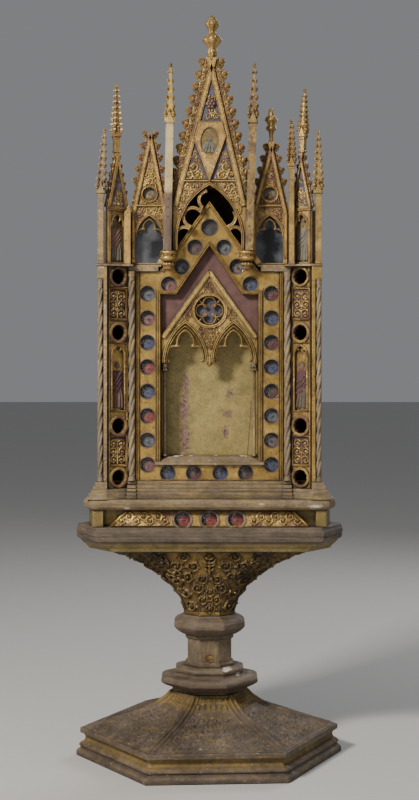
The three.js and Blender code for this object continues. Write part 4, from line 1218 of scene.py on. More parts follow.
def make_relics(materials):
    """Behind each opening: near-black sides and ground as painted shade, a cloth pad set low on the right as
    its painted lit crescent, a fragment, a glass and, in the front, a gilt rim.
    """
    cloths = {name: plain_cloth(f"cloth_{name}", colour) for name, colour in RELIC_CLOTH.items()}
    back = FRAME_FRONT + 11.8
    by_cloth = {}
    lenses, bundles, rims, shade_walls, grounds = [], [], [], [], []
    # Painted shade in both runs below: a near-black ground behind each pad and near-black sides inside each
    # opening stand for the shadow in the openings, and each pad sits low on the right as their lit crescent.
    for x, z, radius, cloth in relic_places():
        grounds.append(disc(x, z, radius, back - 0.6, dome=-0.5))
        by_cloth.setdefault(cloth, []).append(lit_cloth_pad(x, z, radius, back - 0.9))
        lenses.append(lens(x, z, radius - 0.1, FRAME_FRONT + 7.5, dome=1.0))
        bundles.append(relic_bundle(x, z, back - 2.2))
        shade_walls.append(ring(x, z, [(radius - 0.4, back - 0.3), (radius - 0.4, FRAME_FRONT + 1.2),
                                 (radius + 0.2, FRAME_FRONT + 1.2), (radius + 0.2, back - 0.3)]))
        rims.append(ring(x, z, [(radius, FRAME_FRONT + 1.1), (radius, FRAME_FRONT - 0.3),
                                (radius + 0.7, FRAME_FRONT - 0.9), (radius + 1.6, FRAME_FRONT - 0.2),
                                (radius + 1.2, FRAME_FRONT + 1.1)]))
    for x in PREDELLA_RELICS:
        grounds.append(disc(x, PREDELLA_RELIC_Z, 14, -56.8, dome=-0.5))
        by_cloth.setdefault("red", []).append(lit_cloth_pad(x, PREDELLA_RELIC_Z, 14, -57.2))
        lenses.append(lens(x, PREDELLA_RELIC_Z, 13.6, -60.5, dome=1.0))
        bundles.append(relic_bundle(x, PREDELLA_RELIC_Z, -58.5))
    for name, parts in sorted(by_cloth.items()):
        piece(f"relic_cloth_{name}", merged(parts), cloths[name])
    piece("relic_recesses", merged(shade_walls + grounds), materials["recess"])
    piece("relic_glasses", merged(lenses), materials["glass"])
    piece("relic_fragments", merged(bundles), materials["bone"])
    piece("relic_rims", merged(rims), materials["dull_gilding"])


# ---------------------------------------------------------------- front frame and niche
def chevron_half(z):
    """Half the width of the front frame's pointed head at a height."""
    return (CHEVRON_APEX - z) / CHEVRON_SLOPE


def make_front_frame(materials):
    """The gilt front with its relic openings, its pointed head and the mouldings along its edges."""
    top = FRAME_TOP - 0.3
    wide = chevron_half(FRAME_TOP)
    outline = [(FRAME_HALF, FRAME_BOTTOM), (FRAME_HALF, top), (wide, top), (0, CHEVRON_APEX),
               (-wide, top), (-FRAME_HALF, top), (-FRAME_HALF, FRAME_BOTTOM)]
    opening = [(NICHE_HALF, NICHE_BOTTOM), (NICHE_HALF, NICHE_HEAD), (60, NICHE_HEAD),
               (0, CHEVRON_INNER_APEX), (-60, NICHE_HEAD), (-NICHE_HALF, NICHE_HEAD),
               (-NICHE_HALF, NICHE_BOTTOM)]
    holes = [circle(x, z, radius + 0.4) for x, z, radius, _ in relic_places()]
    parts = [plate([outline, opening, *holes], FRAME_FRONT, FRAME_FRONT + 12)]
    face = FRAME_FRONT
    for side in (-1, 1):
        inner = [(side * 92, 536), (side * 92, NICHE_HEAD + 4), (side * 61.5, NICHE_HEAD + 4),
                 (0, CHEVRON_INNER_APEX + 5)]
        parts.append(sweep(inner, stepped(6, 3.2, face)))
        parts.append(sweep([(side * chevron_half(FRAME_TOP + 4) - side * 3.4, FRAME_TOP),
                            (0, CHEVRON_APEX - 5)], stepped(6, 3.2, face)))
        parts.append(sweep([(side * 130.5, FRAME_BOTTOM), (side * 130.5, top)], stepped(5.5, 3, face)))
        parts.append(sweep([(side * 126, FRAME_BOTTOM), (side * 126, top)], ridge(1.6, 1.2, face)))
        parts.append(sweep([(side * 97.2, FRAME_BOTTOM + 26), (side * 97.2, top - 30)],
                           ridge(1.4, 1.0, face)))
    parts.append(sweep([(-126, FRAME_BOTTOM + 1), (126, FRAME_BOTTOM + 1)], ridge(2.4, 1.6, face)))
    edged(piece("front_frame_carved", merged(parts), materials["gilding"], ["front_frame"]))


ROSE_Z = 813.6


def rose_parts(x, z, front):
    """A pierced rose: a moulded ring, four foils and a small cross of cusps."""
    parts = [ring(x, z, [(26.2, front + 6), (26.2, front - 1), (27.4, front - 3.4), (29, front - 3.6),
                         (30.4, front - 2), (32.2, front - 3), (33, front), (33, front + 3)])]
    for quarter in range(4):
        angle = quarter * math.pi / 2
        u, v = x + 13.2 * math.cos(angle), z + 13.2 * math.sin(angle)
        foil = [(u + 11.6 * math.cos(angle + a), v + 11.6 * math.sin(angle + a))
                for a in (math.radians(-138 + 276 * i / 20) for i in range(21))]
        parts.append(sweep(foil, ridge(3.0, 3.6, front + 3)))
        way = angle + math.pi / 4
        joint = (x + 9.5 * math.cos(way), z + 9.5 * math.sin(way))
        outer = (x + 26.5 * math.cos(way), z + 26.5 * math.sin(way))
        parts.append(sweep([joint, outer], ridge(3.0, 3.0, front + 3)))
        parts.append(shifted(bud(2.4, 8), joint[0], front + 1, joint[1]))
    return parts


def make_niche_tracery(materials):
    """The niche's gabled head: a pierced rose over two cusped arches with a drop between them."""
    front, back = TRACERY_FRONT, TRACERY_FRONT + 9
    half, foot, apex = NICHE_HALF - 1, 763.4, 887
    centre, span, rise, spring = TRACERY_ARCH.values()
    arch = pointed_arch(span, rise, 40)
    arches = [at(arch, side * centre, spring) for side in (1, -1)]
    outline = [(half, spring), (half, foot), (0, apex), (-half, foot), (-half, spring),
               (-centre - span, spring), *reversed(arches[1]), *reversed(arches[0]), (centre + span, spring)]
    rose = circle(0, ROSE_Z, 27, 48)
    parts = [plate([outline, rose], front, back, 0.4)]
    for side in (-1, 1):
        parts.append(sweep([(side * (half - 3), foot + 1), (0, apex - 4)], flat_bar(8.5, 4, front)))
        parts.append(sweep([(side * (half - 17), foot + 4), (0, apex - 20)], ridge(2.2, 2.2, front)))
        x = side * centre
        parts.append(sweep(at(pointed_arch(span + 1.6, rise + 2.5, 40), x, spring), stepped(5.6, 4, front)))
        parts.append(sweep(at(pointed_arch(span - 3.2, rise - 5.5, 40), x, spring), ridge(2.4, 2.6, front)))
        cusps = arcs((x + 21, 734, 15, -52, 106), (x - 8.5, 756, 23.5, -5, 68.7),
                     (x + 8.5, 756, 23.5, 111.3, 185), (x - 21, 734, 15, 74, 232))
        parts.append(sweep(cusps, ridge(4.6, 5, front + 4)))
        for way in (-1, 1):
            parts.append(shifted(bud(3.1, 10), x + way * 14, front + 2, 749.5))
            parts.append(shifted(bud(2.6, 10), x + way * 30.5, front + 2, 722))
    parts += rose_parts(0, ROSE_Z, front)
    drop = turned([(0, 1.2), (2, 3.4), (5, 5.2), (7, 4), (9, 5.6), (14, 4.2), (20, 3)], 16, 6, 0.15)
    parts.append(shifted(drop, 0, front + 2, 712))
    fields = [[(-9, 742), (9, 742), (26, 786), (-26, 786)], [(-16, 844), (16, 844), (0, 874)],
              [(30, 800), (42, 793), (52, 806), (34, 830)], [(-42, 793), (-30, 800), (-34, 830), (-52, 806)]]
    for i, field in enumerate(fields):
        parts.append(relief(field, scrolled(field, 5.0, i), front - 0.2, gain=1.9, step=0.6))
    edged(piece("niche_tracery_carved", merged(parts), materials["carved_gilding"],
                ["niche_tracery"]), 50)
    ground = plate([circle(0, ROSE_Z, 27.5, 40)], front + 8.4, front + 9.4, 0.1)
    piece("rose_ground", ground, materials["blue_paint"], smooth=False)
    make_panel_damage(materials)


def make_panel_damage(materials):
    """The split in the niche's panel, and bare gesso where the sill is chipped."""
    face = edge_of("niche_panel")[0][1]
    split = [(77, 648), (76, 622), (73.5, 600), (72, 575), (69.7, 549)]
    piece("panel_split", sweep(split, ridge(1.1, 0.2, face + 0.1, 3)), materials["dark_line"])
    flake = ((-1, -0.4), (0.2, -1), (1, 0.1), (0.3, 0.9), (-0.5, 0.5))
    chips = ((-60, 549, 7, 1.3), (-51, 550, 4, 1.2), (-34, 549.5, 5, 1), (59, 549.5, 5, 1.2),
             (12, 550, 3, 0.8), (66, 549, 3, 1))
    parts = [plate([[(x + wide * u, z + tall * v) for u, v in flake]], -36.9, -35.6, 0.2)
             for x, z, wide, tall in chips]
    piece("sill_chips", merged(parts), materials["gesso"])


def make_jambs(materials):
    """Thin red-brown shafts with leaf capitals stand inside the niche's mouth."""
    for name in SIDES:
        x, y, low, high = upright_of(f"niche_colonnette_{name}")
        shaft = turned([(low, 5), (low + 4, 5), (low + 5, 2.4), (699, 2.4), (700, 3.8), (701.5, 3)], 16)
        capital = turned([(701, 3), (704, 3.6), (708, 5.8), (710, 4.8), (713, 6.6), (high, 6.8)], 24, 8, 0.25)
        leaves = bud_ring(2.6, 5, 706, 6, 706) + bud_ring(2.6, 5, 712, 6, 712)
        body = shifted(merged([shaft, capital, *leaves]), x, y)
        piece(f"niche_jamb_{name}", body, materials["dull_gilding"], [f"niche_colonnette_{name}"])


# ---------------------------------------------------------------- colonnettes
def twisted_rope(radius, bottom, top, turns=13, strands=3):
    """A colonnette carved as a rope, with a turned base and a leaf capital."""
    foot, neck = bottom + 10, top - 16
    rows, steps = 260, 30
    points = []
    for row in range(rows):
        share = row / (rows - 1)
        z = foot + (neck - foot) * share
        for i in range(steps):
            angle = 2 * math.pi * i / steps
            phase = strands * angle - 2 * math.pi * turns * share
            r = radius * (0.4 + 0.57 * abs(math.cos(phase / 2)) ** 0.55)
            points.append((r * math.cos(angle), r * math.sin(angle), z))
    faces = grid_faces(rows, steps, wrap=True)
    base = turned([(bottom, radius * 1.12), (bottom + 2.5, radius * 1.12), (bottom + 3.4, radius * 0.9),
                   (bottom + 5.5, radius * 1.05), (bottom + 7.4, radius * 0.8), (foot + 1, radius * 0.75)])
    capital = turned([(neck - 1, radius * 0.75), (neck, radius * 1.05), (neck + 1.6, radius * 0.8),
                      (neck + 6, radius * 0.9), (neck + 10, radius * 1.12), (neck + 12.5, radius * 0.95),
                      (top - 2, radius * 1.1), (top, radius * 1.1)], lobes=8, depth=0.16)
    return merged([(np.array(points), faces), base, capital])


def make_colonnettes(materials):
    """Twisted ropes on both sides of the wings, the inner ones on stepped blocks."""
    steps = ((474, 478.5, 19), (479, 485, 15.5), (486, 491, 12), (492, 498, 9), (499, 505, 5))
    blocks = []
    for name, side in SIDES.items():
        for kind, radius in (("inner", 6.4), ("outer", 5.2)):
            x, y, low, high = upright_of(f"{kind}_colonnette_{name}")
            rope = shifted(twisted_rope(radius, low, high), x, y)
            piece(f"{kind}_rope_{name}", rope, materials["rope_wood"],
                  [f"{kind}_colonnette_{name}"])
        for bottom, top, reach in steps:
            x, wide = side * 140.6, 6.8 + 0.12 * reach
            blocks.append(plate([oblong(x - wide, bottom, x + wide, top)], -51.5 - reach, -51, 0.7))
    piece("colonnette_blocks", merged(blocks), materials["reed_wood"])


# ---------------------------------------------------------------- figures
def figure_parts(x, z, height, front):
    """A standing robed figure in very low relief, split by colour. Its face is a plain oval."""
    h = height
    place = lambda rows: [(x + u * h, z + v * h) for u, v in rows]
    fold = lambda rows, radii: stroke(place(rows), [h * radius for radius in radii])
    robe = place([(-0.16, 0), (0.15, 0), (0.145, 0.3), (0.165, 0.58), (0.12, 0.74), (0.03, 0.79),
                  (-0.03, 0.79), (-0.12, 0.74), (-0.165, 0.58), (-0.15, 0.3)])
    folds = [fold([(u, 0.02), (0.8 * u + 0.02, 0.25), (0.35 * u, 0.6)], (0.03, 0.024, 0.01))
             for u in (-0.13, -0.05, 0.05, 0.12)]
    mantle = place([(-0.165, 0.3), (-0.06, 0.2), (0.06, 0.36), (0.15, 0.5), (0.13, 0.72), (0.05, 0.78),
                    (-0.08, 0.77), (-0.165, 0.6)])
    sash = [fold([(-0.14, 0.3 + d), (-0.01, 0.36 + d), (0.1, 0.52 + d)], (0.026, 0.03, 0.016))
            for d in (0.0, 0.11, 0.22)]
    head = (x, z + 0.86 * h)
    face = oval(*head, 0.046 * h, 0.06 * h, 24)
    hair = oval(head[0], head[1] + 0.012 * h, 0.06 * h, 0.066 * h, 24)
    hands = [circle(x + u * h, z + v * h, 0.02 * h, 12) for u, v in ((-0.03, 0.55), (0.03, 0.58))]
    line = lambda rows, width: sweep([(head[0] + u * h, head[1] + v * h) for u, v in rows],
                                     ridge(width * h, 0.12, front - 1.25, 2))
    features = [line([(s * 0.02 - 0.009, 0.006), (s * 0.02, 0.01), (s * 0.02 + 0.009, 0.006)], 0.008)
                for s in (-1, 1)]
    features.append(line([(0, 0.004), (0.003, -0.016), (-0.004, -0.018)], 0.006))
    features.append(line([(-0.012, -0.032), (0, -0.034), (0.012, -0.032)], 0.006))
    return {
        "robe": [relief(robe, folds, front - 0.25, gain=0.9, step=0.6)],
        "mantle": [relief(mantle, sash, front - 0.6, gain=0.9, step=0.6)],
        "halo": [plate([circle(*head, 0.1 * h, 32)], front - 0.4, front + 0.4, 0.1)],
        "hair": [plate([hair], front - 0.8, front, 0.15)],
        "flesh": [plate([face], front - 1.2, front, 0.25)]
        + [plate([hand], front - 1.2, front, 0.2) for hand in hands],
        "line": features,
    }


def half_figure(x, z, height, front):
    """A half-length figure for a medallion. Its face is a plain oval."""
    h = height
    place = lambda rows: [(x + u * h, z + v * h) for u, v in rows]
    body = place([(-0.44, 0), (0.44, 0), (0.4, 0.18), (0.28, 0.42), (0.12, 0.55), (-0.12, 0.55),
                  (-0.28, 0.42), (-0.4, 0.18)])
    folds = [stroke(place([(u, 0.02), (0.5 * u, 0.3), (0.25 * u, 0.5)]), [0.05 * h, 0.045 * h, 0.02 * h])
             for u in (-0.38, -0.2, 0.0, 0.2, 0.38)]
    head = oval(x, z + 0.68 * h, 0.1 * h, 0.125 * h, 24)
    hair = oval(x, z + 0.71 * h, 0.14 * h, 0.16 * h, 24)
    return {
        "robe": [relief(body, folds, front - 0.4, gain=0.9, step=0.5)],
        "hair": [plate([hair], front - 0.7, front, 0.1)],
        "flesh": [plate([head], front - 1.0, front, 0.2)],
    }


def place_figure(name, parts, colours, materials, place=HERE):
    """Adds a figure's layers, each with its own finish."""
    for layer, finish in colours.items():
        piece(f"{name}_{layer}", merged(parts[layer]), materials[finish], place=place)


# ---------------------------------------------------------------- wings
def make_wings(materials):
    """On each wing: four ringed openings, two leaf panels and a figure in a cusped arch."""
    holes, hole_x = (874, 773, 605, 512), 21
    fields = ((798, 852.5), (534.5, 586.5))
    for name, side in SIDES.items():
        place = wing_place(side)
        parts, rings, grounds, leaves = [], [], [], []
        for z in holes:
            reach = min(19, WING_TOP - z, z - WING_BOTTOM + 0.4)
            rings.append(ring(side * hole_x, z, [
                (13.9, 11), (13.9, -3.2), (14.8, -4), (15.6, -3.3), (16.4, -2.6), (17.4, -3.6),
                (reach, -3.2), (reach, 0.5), (15, 1)], 44))
        for low, high in fields:
            field = oblong(side * 4.5, low, side * 38.5, high)
            parts.append(sweep(field, ridge(2.2, 1.8, 0.2), closed=True))
            grounds.append(plate([field], 2.4, 4, 0.2))
            carved = rinceau(side * 21.5, low + 2, high - 1, 16, 3)
            leaves.append(relief(field, carved, 2.9, gain=2.3, step=0.6, cap=3.4))
        middle = side * hole_x
        arch = at(pointed_arch(13.5, 17), middle, 733)
        parts.append(sweep([(middle + 13.5, 633), *arch, (middle - 13.5, 633)], stepped(3.2, 2.2, 0)))
        parts.append(sweep(at(pointed_arch(15.5, 30), middle, 722), ridge(2.2, 2.4, 0)))
        parts.append(sweep(at(foiled(12.5, 16, (0.3, 0.7), 4.5), middle, 733), ridge(2, 2, 1.5)))
        for z in (854.5, 796, 754.5, 631.5, 588.5, 532.5):
            parts.append(sweep([(side * 3, z), (side * 40, z)], ridge(2.6, 2.6, 0)))
        for x in (3, 40):
            parts.append(sweep([(side * x, WING_BOTTOM), (side * x, WING_TOP)], ridge(2.8, 2.4, 0)))
        piece(f"wing_mouldings_{name}", merged(parts), materials["gilding"], place=place)
        piece(f"wing_rings_{name}", merged(rings), materials["ring_wood"], place=place)
        piece(f"wing_grounds_{name}", merged(grounds), materials["purple_paint"], place=place,
              smooth=False)
        piece(f"wing_leaves_{name}", merged(leaves), materials["carved_gilding"], place=place)
        figure = figure_parts(middle, 637, 88, 4.9)
        colours = {"robe": "mauve_paint" if side < 0 else "dark_paint", "mantle": "purple_paint",
                   "halo": "gilding", "hair": "dark_line", "flesh": "flesh_paint", "line": "dark_line"}
        place_figure(f"wing_figure_{name}", figure, colours, materials, place)


# ---------------------------------------------------------------- bays
def make_bay(name, side, materials):
    """A gabled window bay. The left one has lost the top of its gable."""
    broken = side < 0
    centre, half, foot, ledge = side * BAY["centre"], BAY["half"], BAY["foot"], BAY["ledge"]
    front, back = BAY_FRONT, BAY_FRONT + 10
    *apex, crockets = BAY_GABLE[name]
    slope = math.hypot(half, apex[1] - foot)
    wide, spring, rise = WINDOW["half"], WINDOW["spring"], WINDOW["rise"]
    low = SILL_TOP + 0.3
    inner, outer = centre - side * half, centre + side * half
    crown = [apex]
    if broken:
        share = (BAY["broken_top"] - foot) / (apex[1] - foot)
        crown = [(edge * (1 - share) + apex[0] * share, BAY["broken_top"]) for edge in (outer, inner)]
    outline = [(inner + side * 8, low), (outer, low), (outer, foot), *crown, (inner, foot), (inner, low + 12)]
    arch = at(pointed_arch(wide, rise, 32), centre, spring)
    corners = [(wide, low + (3 if side > 0 else 19)), (-wide, low + (19 if side > 0 else 3))]
    window = [(centre + corners[0][0], corners[0][1]), *arch, (centre + corners[1][0], corners[1][1])]
    window += [(centre - side * (wide - 11), low + 3)]
    medallion = circle(centre, MEDALLION_Z, 12, 36)
    parts = [plate([outline, window, medallion], front, back, 0.5)]
    parts.append(sweep(arch, stepped(4.6, 3, front)))
    cusped = arcs((centre + 13, spring + 2, 12, -10, 100), (centre - 6, spring + 16, 17, -5, 69),
                  (centre + 6, spring + 16, 17, 111, 185), (centre - 13, spring + 2, 12, 80, 190))
    parts.append(sweep(cusped, ridge(3.6, 4.2, front + 5)))
    parts += [shifted(bud(2.5, 8), centre + s * 10.5, front + 3, spring + 14.5) for s in (-1, 1)]
    for s in (-1, 1):
        parts.append(sweep([(centre + s * (half - 3.4), low + 12), (centre + s * (half - 3.4), foot)],
                           flat_bar(6.4, 3.4, front)))
        parts.append(gable_edge(apex, (centre + s * half, foot), front, back, 5, crockets, 10,
                                skip=0.058 if broken else 0.0, reach=crockets * BAY["pitch"] / slope))
    parts.append(sweep([(centre - half + 4, ledge), (centre + half - 4, ledge)], ridge(4.6, 3.8, front)))
    parts.append(sweep([(centre - side * (half - 12), low + 1.6), (centre + side * (half - 1), low + 1.6)],
                       ridge(3, 2.4, front + 1)))
    parts.append(ring(centre, MEDALLION_Z, [(11.6, back - 3), (11.6, front - 1), (12.6, front - 2.8),
                                            (14, front - 2), (15.4, front - 3), (17, front)]))
    if not broken:
        rows = [(1112, 3), (1134, 4), (1138, 5), (1142, 10), (1146, 9), (1150, 6), (1154, 8), (1158, 12),
                (1163, 10), (1167, 6), (1173, 5), (1178, 3.4), (1181, 1.5)]
        parts.append(make_finial(rows, apex[0], (front + back) / 2))
    edged(piece(f"bay_carved_{name}", merged(parts), materials["crown_gilding"],
                [f"bay_{name}"]), 50)
    field = [(centre - half + 12, ledge + 3), (centre + half - 12, ledge + 3), (apex[0], apex[1] - 24)]
    spandrel = [(centre - half + 9, 972), (centre, 990), (centre + half - 9, 972),
                (centre + half - 9, ledge - 3), (centre - half + 9, ledge - 3)]
    leaves = merged([relief(loop, scrolled(loop, 5.5, 3), front - 0.2, gain=1.9, step=0.65)
                     for loop in (field, spandrel)])
    leaves = clear_of_circle(leaves, centre, MEDALLION_Z, 15)
    piece(f"bay_leaves_{name}", leaves, materials["carved_gilding"])
    ground = disc(centre, MEDALLION_Z, 12, back - 4, dome=0.5)
    piece(f"bay_medallion_{name}", ground, materials["grey_paint"])
    bust = half_figure(centre, MEDALLION_Z - 12, 21, back - 4.6)
    colours = {"robe": "olive_gilding", "flesh": "flesh_paint", "hair": "dull_gilding"}
    place_figure(f"bay_bust_{name}", bust, colours, materials)


# ---------------------------------------------------------------- canopy
CANOPY = {"half": 66, "bottom": 921, "foot": 1002, "arch_half": 60, "spring": 940, "rise": 101}
CANOPY_APEX = (4, 1268)
CANOPY_LEDGE = 1049
KITE_CENTRE = 1117


def make_canopy(materials):
    """The tall middle gable over its pointed arch, with a kite-shaped field and a finial."""
    front, back = CANOPY_FRONT, CANOPY_FRONT + 12
    half, bottom, foot, inner, spring, rise = CANOPY.values()
    arch = at(pointed_arch(inner, rise, 48), 0, spring)
    outline = [(half, bottom), (half, foot), CANOPY_APEX, (-half, foot), (-half, bottom),
               (-inner, bottom), *reversed(arch), (inner, bottom)]
    parts = [plate([outline], front, back, 0.5)]
    parts.append(sweep([(inner, bottom), *arch, (-inner, bottom)], stepped(5.4, 3.6, front)))
    for side in (-1, 1):
        parts.append(gable_edge(CANOPY_APEX, (side * half, foot), front, back, 10, 12, 14, bar=9.5))
    parts.append(sweep([(-48, 1046), (50, 1046)], ridge(4.2, 3.6, front)))
    kite = [(0, 1047), (29, 1125), (22, 1152), (-22, 1152), (-29, 1125)]
    parts.append(plate([kite, oval(0, KITE_CENTRE, 15.5, 24)], front - 5, front + 1, 0.8))
    parts.append(sweep(kite, ridge(2.2, 1.6, front - 5), closed=True))
    parts.append(sweep(oval(0, KITE_CENTRE, 16.4, 25), ridge(1.6, 1.0, front - 5), closed=True))
    rows = [(1260, 6), (1268, 6.5), (1279, 10), (1286, 7), (1291, 11), (1296, 16), (1301, 18), (1306, 14),
            (1310, 9), (1314, 6), (1318, 7), (1323, 10), (1329, 13), (1333, 11), (1336, 8.5), (1341, 6),
            (1344, 2.5)]
    parts.append(make_finial(rows, 5, (front + back) / 2))
    edged(piece("canopy_carved", merged(parts), materials["crown_gilding"], ["canopy"]), 50)
    canopy_leaves(front, materials)
    ground = plate([oval(0, KITE_CENTRE, 15.8, 24.4)], front - 3.4, front - 0.5, 0.2)
    piece("canopy_medallion", ground, materials["olive_gilding"], smooth=False)
    bust = half_figure(0, KITE_CENTRE - 20, 36, front - 3.5)
    colours = {"robe": "grey_paint", "flesh": "flesh_paint", "hair": "dull_gilding"}
    place_figure("canopy_bust", bust, colours, materials)


def canopy_leaves(front, materials):
    """Gilt scrolls on a blue ground beside the kite, above it round a rosette, and over the arch."""
    low, middle = CANOPY_LEDGE, CANOPY_APEX[0]
    ground = plate([[(middle - 48, low), (middle + 44, low), (middle, 1240)]], front - 0.6, front + 0.5, 0.1)
    piece("canopy_ground", ground, materials["blue_paint"], smooth=False)
    arch = at(pointed_arch(CANOPY["arch_half"], CANOPY["rise"], 48), 0, CANOPY["spring"])
    rising = sorted([p for p in arch if p[0] >= 0 and p[1] > 985], key=lambda p: p[1])
    triangle = [(middle, low), (44, low), (20, 1146), (31, 1124)]
    wedge = [*rising, (0, 1043), (48, 1043), (56, 1004), (58, 985)]
    fields = []
    for loop, size, level in ((triangle, 8.5, front - 0.4), (wedge, 6.5, front - 0.2)):
        leaves = scrolled(loop, size, 5) + scrolled(loop, 0.58 * size, 9)
        carved = relief(loop, leaves, level, gain=1.9, step=0.7)
        fields += [shifted(carved, x=1), shifted(mirrored(carved), x=1)]
    top = [(-13, 1156), (20, 1156), (4, 1236)]
    fields.append(relief(top, scrolled(top, 6.5, 8), front - 0.3, gain=1.9, step=0.7))
    piece("canopy_leaves", merged(fields), materials["carved_gilding"])
    x, z = 2, 1184
    petals = [shifted(bud(3.4, 10), u, front - 3.5, v) for u, v in circle(x, z, 5.6, 6)]
    petals.append(shifted(bud(3.2, 10), x, front - 4.4, z))
    piece("canopy_rosette", merged(petals), materials["mauve_paint"])


def make_cusping(materials):
    """Foils inside the canopy's arch. The right side has lost the upper part of its run."""
    front = CANOPY_FRONT + 6
    foils = {
        "left": [(-3, 1012, 16, 95, 228), (-30, 981, 17, 40, 252), (-46, 948, 15, 60, 195)],
        "right": [(30, 981, 17, 40, -72), (46, 948, 15, 122, 0)],
    }
    tips = {"left": [(-15, front, 996), (-36, front, 963)], "right": [(36, front, 963)]}
    for name, runs in foils.items():
        parts = [sweep(arcs(*runs), stepped(6.4, 5.0, front))]
        parts += [shifted(bud(3.6, 10), *tip) for tip in tips[name]]
        piece(f"cusping_carved_{name}", merged(parts), materials["crown_gilding"],
              [f"cusping_{name}"])


# ---------------------------------------------------------------- corner gables, pinnacles and corbels
def make_corner_gables(materials):
    """A small gable over each wing, with a figure in its arch."""
    for name, side in SIDES.items():
        place = wing_place(side)
        x, half = side * 22, 21
        foot, apex = 999, (side * 22, 1097)
        low, spring = SILL_TOP + 0.3, 964
        outline = [(x - half, low), (x + half, low), (x + half, foot), apex, (x - half, foot)]
        arch = at(pointed_arch(14, 24, 28), x, spring)
        opening = [(x + 14, 900), *arch, (x - 14, 900)]
        parts = [plate([outline, opening], 0, 6, 0.4)]
        parts.append(sweep(arch, stepped(3.4, 2.4, 0)))
        parts.append(sweep(at(foiled(12.5, 22, (0.3, 0.7), 5), x, spring), ridge(2.4, 2.2, 2)))
        for s in (-1, 1):
            parts.append(sweep([(x + s * 17.5, low), (x + s * 17.5, foot - 6)], stepped(4.4, 3, 0)))
            parts.append(gable_edge(apex, (x + s * half, foot), 0, 9, 3, 5, 6, bar=5, reach=0.8))
        parts.append(sweep([(x - half, foot - 4), (x + half, foot - 4)], stepped(5, 3.8, 0)))
        edged(piece(f"corner_gable_carved_{name}", merged(parts), materials["crown_gilding"],
                    [f"corner_gable_{name}"], place), 50)
        ground = plate([oblong(x - 16, low, x + 16, 990)], 6.1, 8.6, 0.1)
        piece(f"corner_ground_{name}", ground, materials["olive_gilding"], place=place,
              smooth=False)
        field = [(x - 15, foot + 2), (x + 15, foot + 2), (x, 1068)]
        blue = plate([field], -0.4, 0.5, 0.1)
        piece(f"corner_blue_{name}", blue, materials["blue_paint"], place=place, smooth=False)
        piece(f"corner_leaves_{name}", relief(field, scrolled(field, 5.0, 4), -0.2, gain=1.8, step=0.6),
              materials["carved_gilding"], place=place)
        figure = figure_parts(x, 903, 76, 6.0)
        colours = {"robe": "grey_paint", "mantle": "mauve_paint" if side < 0 else "grey_paint",
                   "halo": "gilding", "hair": "dull_gilding", "flesh": "flesh_paint", "line": "dark_line"}
        place_figure(f"corner_figure_{name}", figure, colours, materials, place)


def fine_pinnacle(half, bottom, shaft_top, top, tiers, grooved=True):
    """A square shaft, four gablets, a tapering spire with leafy crockets on its corners and a bud."""
    shaft = [(bottom, half), (shaft_top, half)]
    if grooved:
        shaft[1:1] = [(bottom + 3, half), (bottom + 4, half * 0.86), (shaft_top - 5, half * 0.86),
                      (shaft_top - 4, half)]
    collar = shaft_top + half * 3
    parts = [square_rows(shaft)]
    parts.append(square_rows([(shaft_top, half * 1.15), (shaft_top + 2, half * 1.15),
                              (shaft_top + 2.5, half * 0.85), (collar, half * 0.8)]))
    for quarter in range(4):
        gablet = plate([[(-half * 1.2, 0), (half * 1.2, 0), (0, half * 3.3)]], -half * 1.3, -half * 0.7, 0.3)
        knob = shifted(bud(half * 0.42, 8), 0, -half, half * 3.3)
        turn = Matrix.Translation((0, 0, shaft_top)) @ Matrix.Rotation(quarter * math.pi / 2, 4, "Z")
        parts.append(moved(merged([gablet, knob]), turn))
    parts.append(square_rows([(collar, half * 0.8), (top - 6, 1.5)]))
    for tier in range(tiers):
        share = (tier + 0.4) / tiers
        z = collar - half * 1.4 + (top - 8 - collar + half * 1.4) * share
        width = half * 0.8 * (1 - share) + 1.6
        size = 3.1 * (1 - 0.4 * share)
        for sx, sy in CORNERS:
            parts.append(shifted(bud(size, 8), sx * (width + 0.7), sy * (width + 0.7), z))
            parts.append(shifted(bud(size * 0.7, 6), sx * width, sy * width, z - size * 1.3))
    rows = [(top - 9, 1.4), (top - 7, 3.6), (top - 5, 2.4), (top - 3, 3.6), (top - 1, 2.2), (top, 0.9)]
    parts.append(turned(rows, 12, lobes=4, depth=0.2))
    return merged(parts)


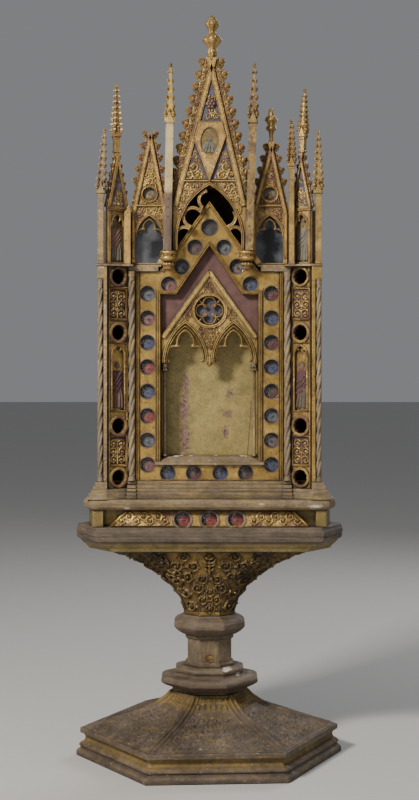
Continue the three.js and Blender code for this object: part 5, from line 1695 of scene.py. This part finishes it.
def make_pinnacles(materials):
    """The pinnacles, each pair with its own heights, leans and wear, and nail holes in the tall ones."""
    gold = materials["crown_gilding"]
    for name, side in SIDES.items():
        x, lean = (-75.2, 0.016) if side < 0 else (70.9, 0.03)
        tall = shifted(leaned(fine_pinnacle(6.8, 920, 1148, 1257, 6, grooved=False), 920, lean), x, -74)
        finish = materials["bare_shaft"] if side < 0 else materials["brown_gilding"]
        edged(piece(f"tall_pinnacle_carved_{name}", tall, finish, [f"tall_pinnacle_{name}"]))
        place = wing_place(side) @ Matrix.Translation((side * 22, 4.5, 0))
        top, lean = (1224, 0.0) if side < 0 else (1213, 0.045)
        spire = leaned(fine_pinnacle(5.5, 1097.8, 1126, top, 8), 1104, lean)
        edged(piece(f"corner_spire_carved_{name}", spire, gold, [f"corner_spire_{name}"], place))
        top, lean = (1139, 0.06) if side < 0 else (1135, 0.0)
        outer = leaned(fine_pinnacle(6, SILL_TOP + 0.3, 1022, top, 8), 1022, lean)
        finish = materials["flaking"] if side < 0 else gold
        edged(piece(f"outer_pinnacle_carved_{name}", shifted(outer, side * 195, -75), finish,
                    [f"outer_pinnacle_{name}"]))
    inner = shifted(fine_pinnacle(5.5, SILL_TOP + 0.3, 1072, 1157, 7), 147.5, -64.5)
    edged(piece("inner_pinnacle_carved_right", inner, gold, ["inner_pinnacle_right"]))
    holes = [disc(x, z, 1.5, -81.1) for x, z in ((-73.6, 1012), (-74, 997), (-74.3, 980), (72.4, 1004),
                                                 (73, 985), (71.6, 963))]
    piece("nail_holes", merged(holes), materials["dark_line"])


def make_corbels(materials):
    """A leafy drop and two rings under each tall pinnacle, with a block back to the front."""
    rows = [(884.3, 1.5), (888, 5), (893, 8), (898, 9.5), (900.5, 8.4), (902, 11), (904, 14), (907, 15),
            (909, 13.8), (910.5, 11.5), (912.5, 11.8), (914, 14.2), (916, 15), (918, 15), (919.7, 14)]
    for name, side in SIDES.items():
        x = -74 if side < 0 else 67.5
        drop = [(z, r) for z, r in rows if z < 900]
        ringed = [(z, r) for z, r in rows if z > 898]
        leaves = bud_ring(2.8, 8.5, 896, 10) + bud_ring(2.3, 5, 889, 10) + bud_ring(2.2, 12, 911.5, 10)
        body = merged([turned(drop, 32, lobes=8, depth=0.2), turned(ringed, 32), *leaves])
        neck = plate([oblong(x - 5.5, 900, x + 5.5, 918)], -60, -50.6, 0.3)
        part = merged([shifted(body, x, -66), neck])
        piece(f"corbel_carved_{name}", part, materials["crown_gilding"], [f"corbel_{name}"])


# ---------------------------------------------------------------- the whole object
make_camera()
make_stage()
MATERIALS = make_materials()
finish_cad_nodes(MATERIALS)
make_foot_and_capital(MATERIALS)
make_relics(MATERIALS)
make_front_frame(MATERIALS)
make_niche_tracery(MATERIALS)
make_jambs(MATERIALS)
make_colonnettes(MATERIALS)
make_wings(MATERIALS)
make_predella(MATERIALS)
for side_name, side_sign in SIDES.items():
    make_bay(side_name, side_sign, MATERIALS)
make_canopy(MATERIALS)
make_cusping(MATERIALS)
make_corner_gables(MATERIALS)
make_pinnacles(MATERIALS)
make_corbels(MATERIALS)
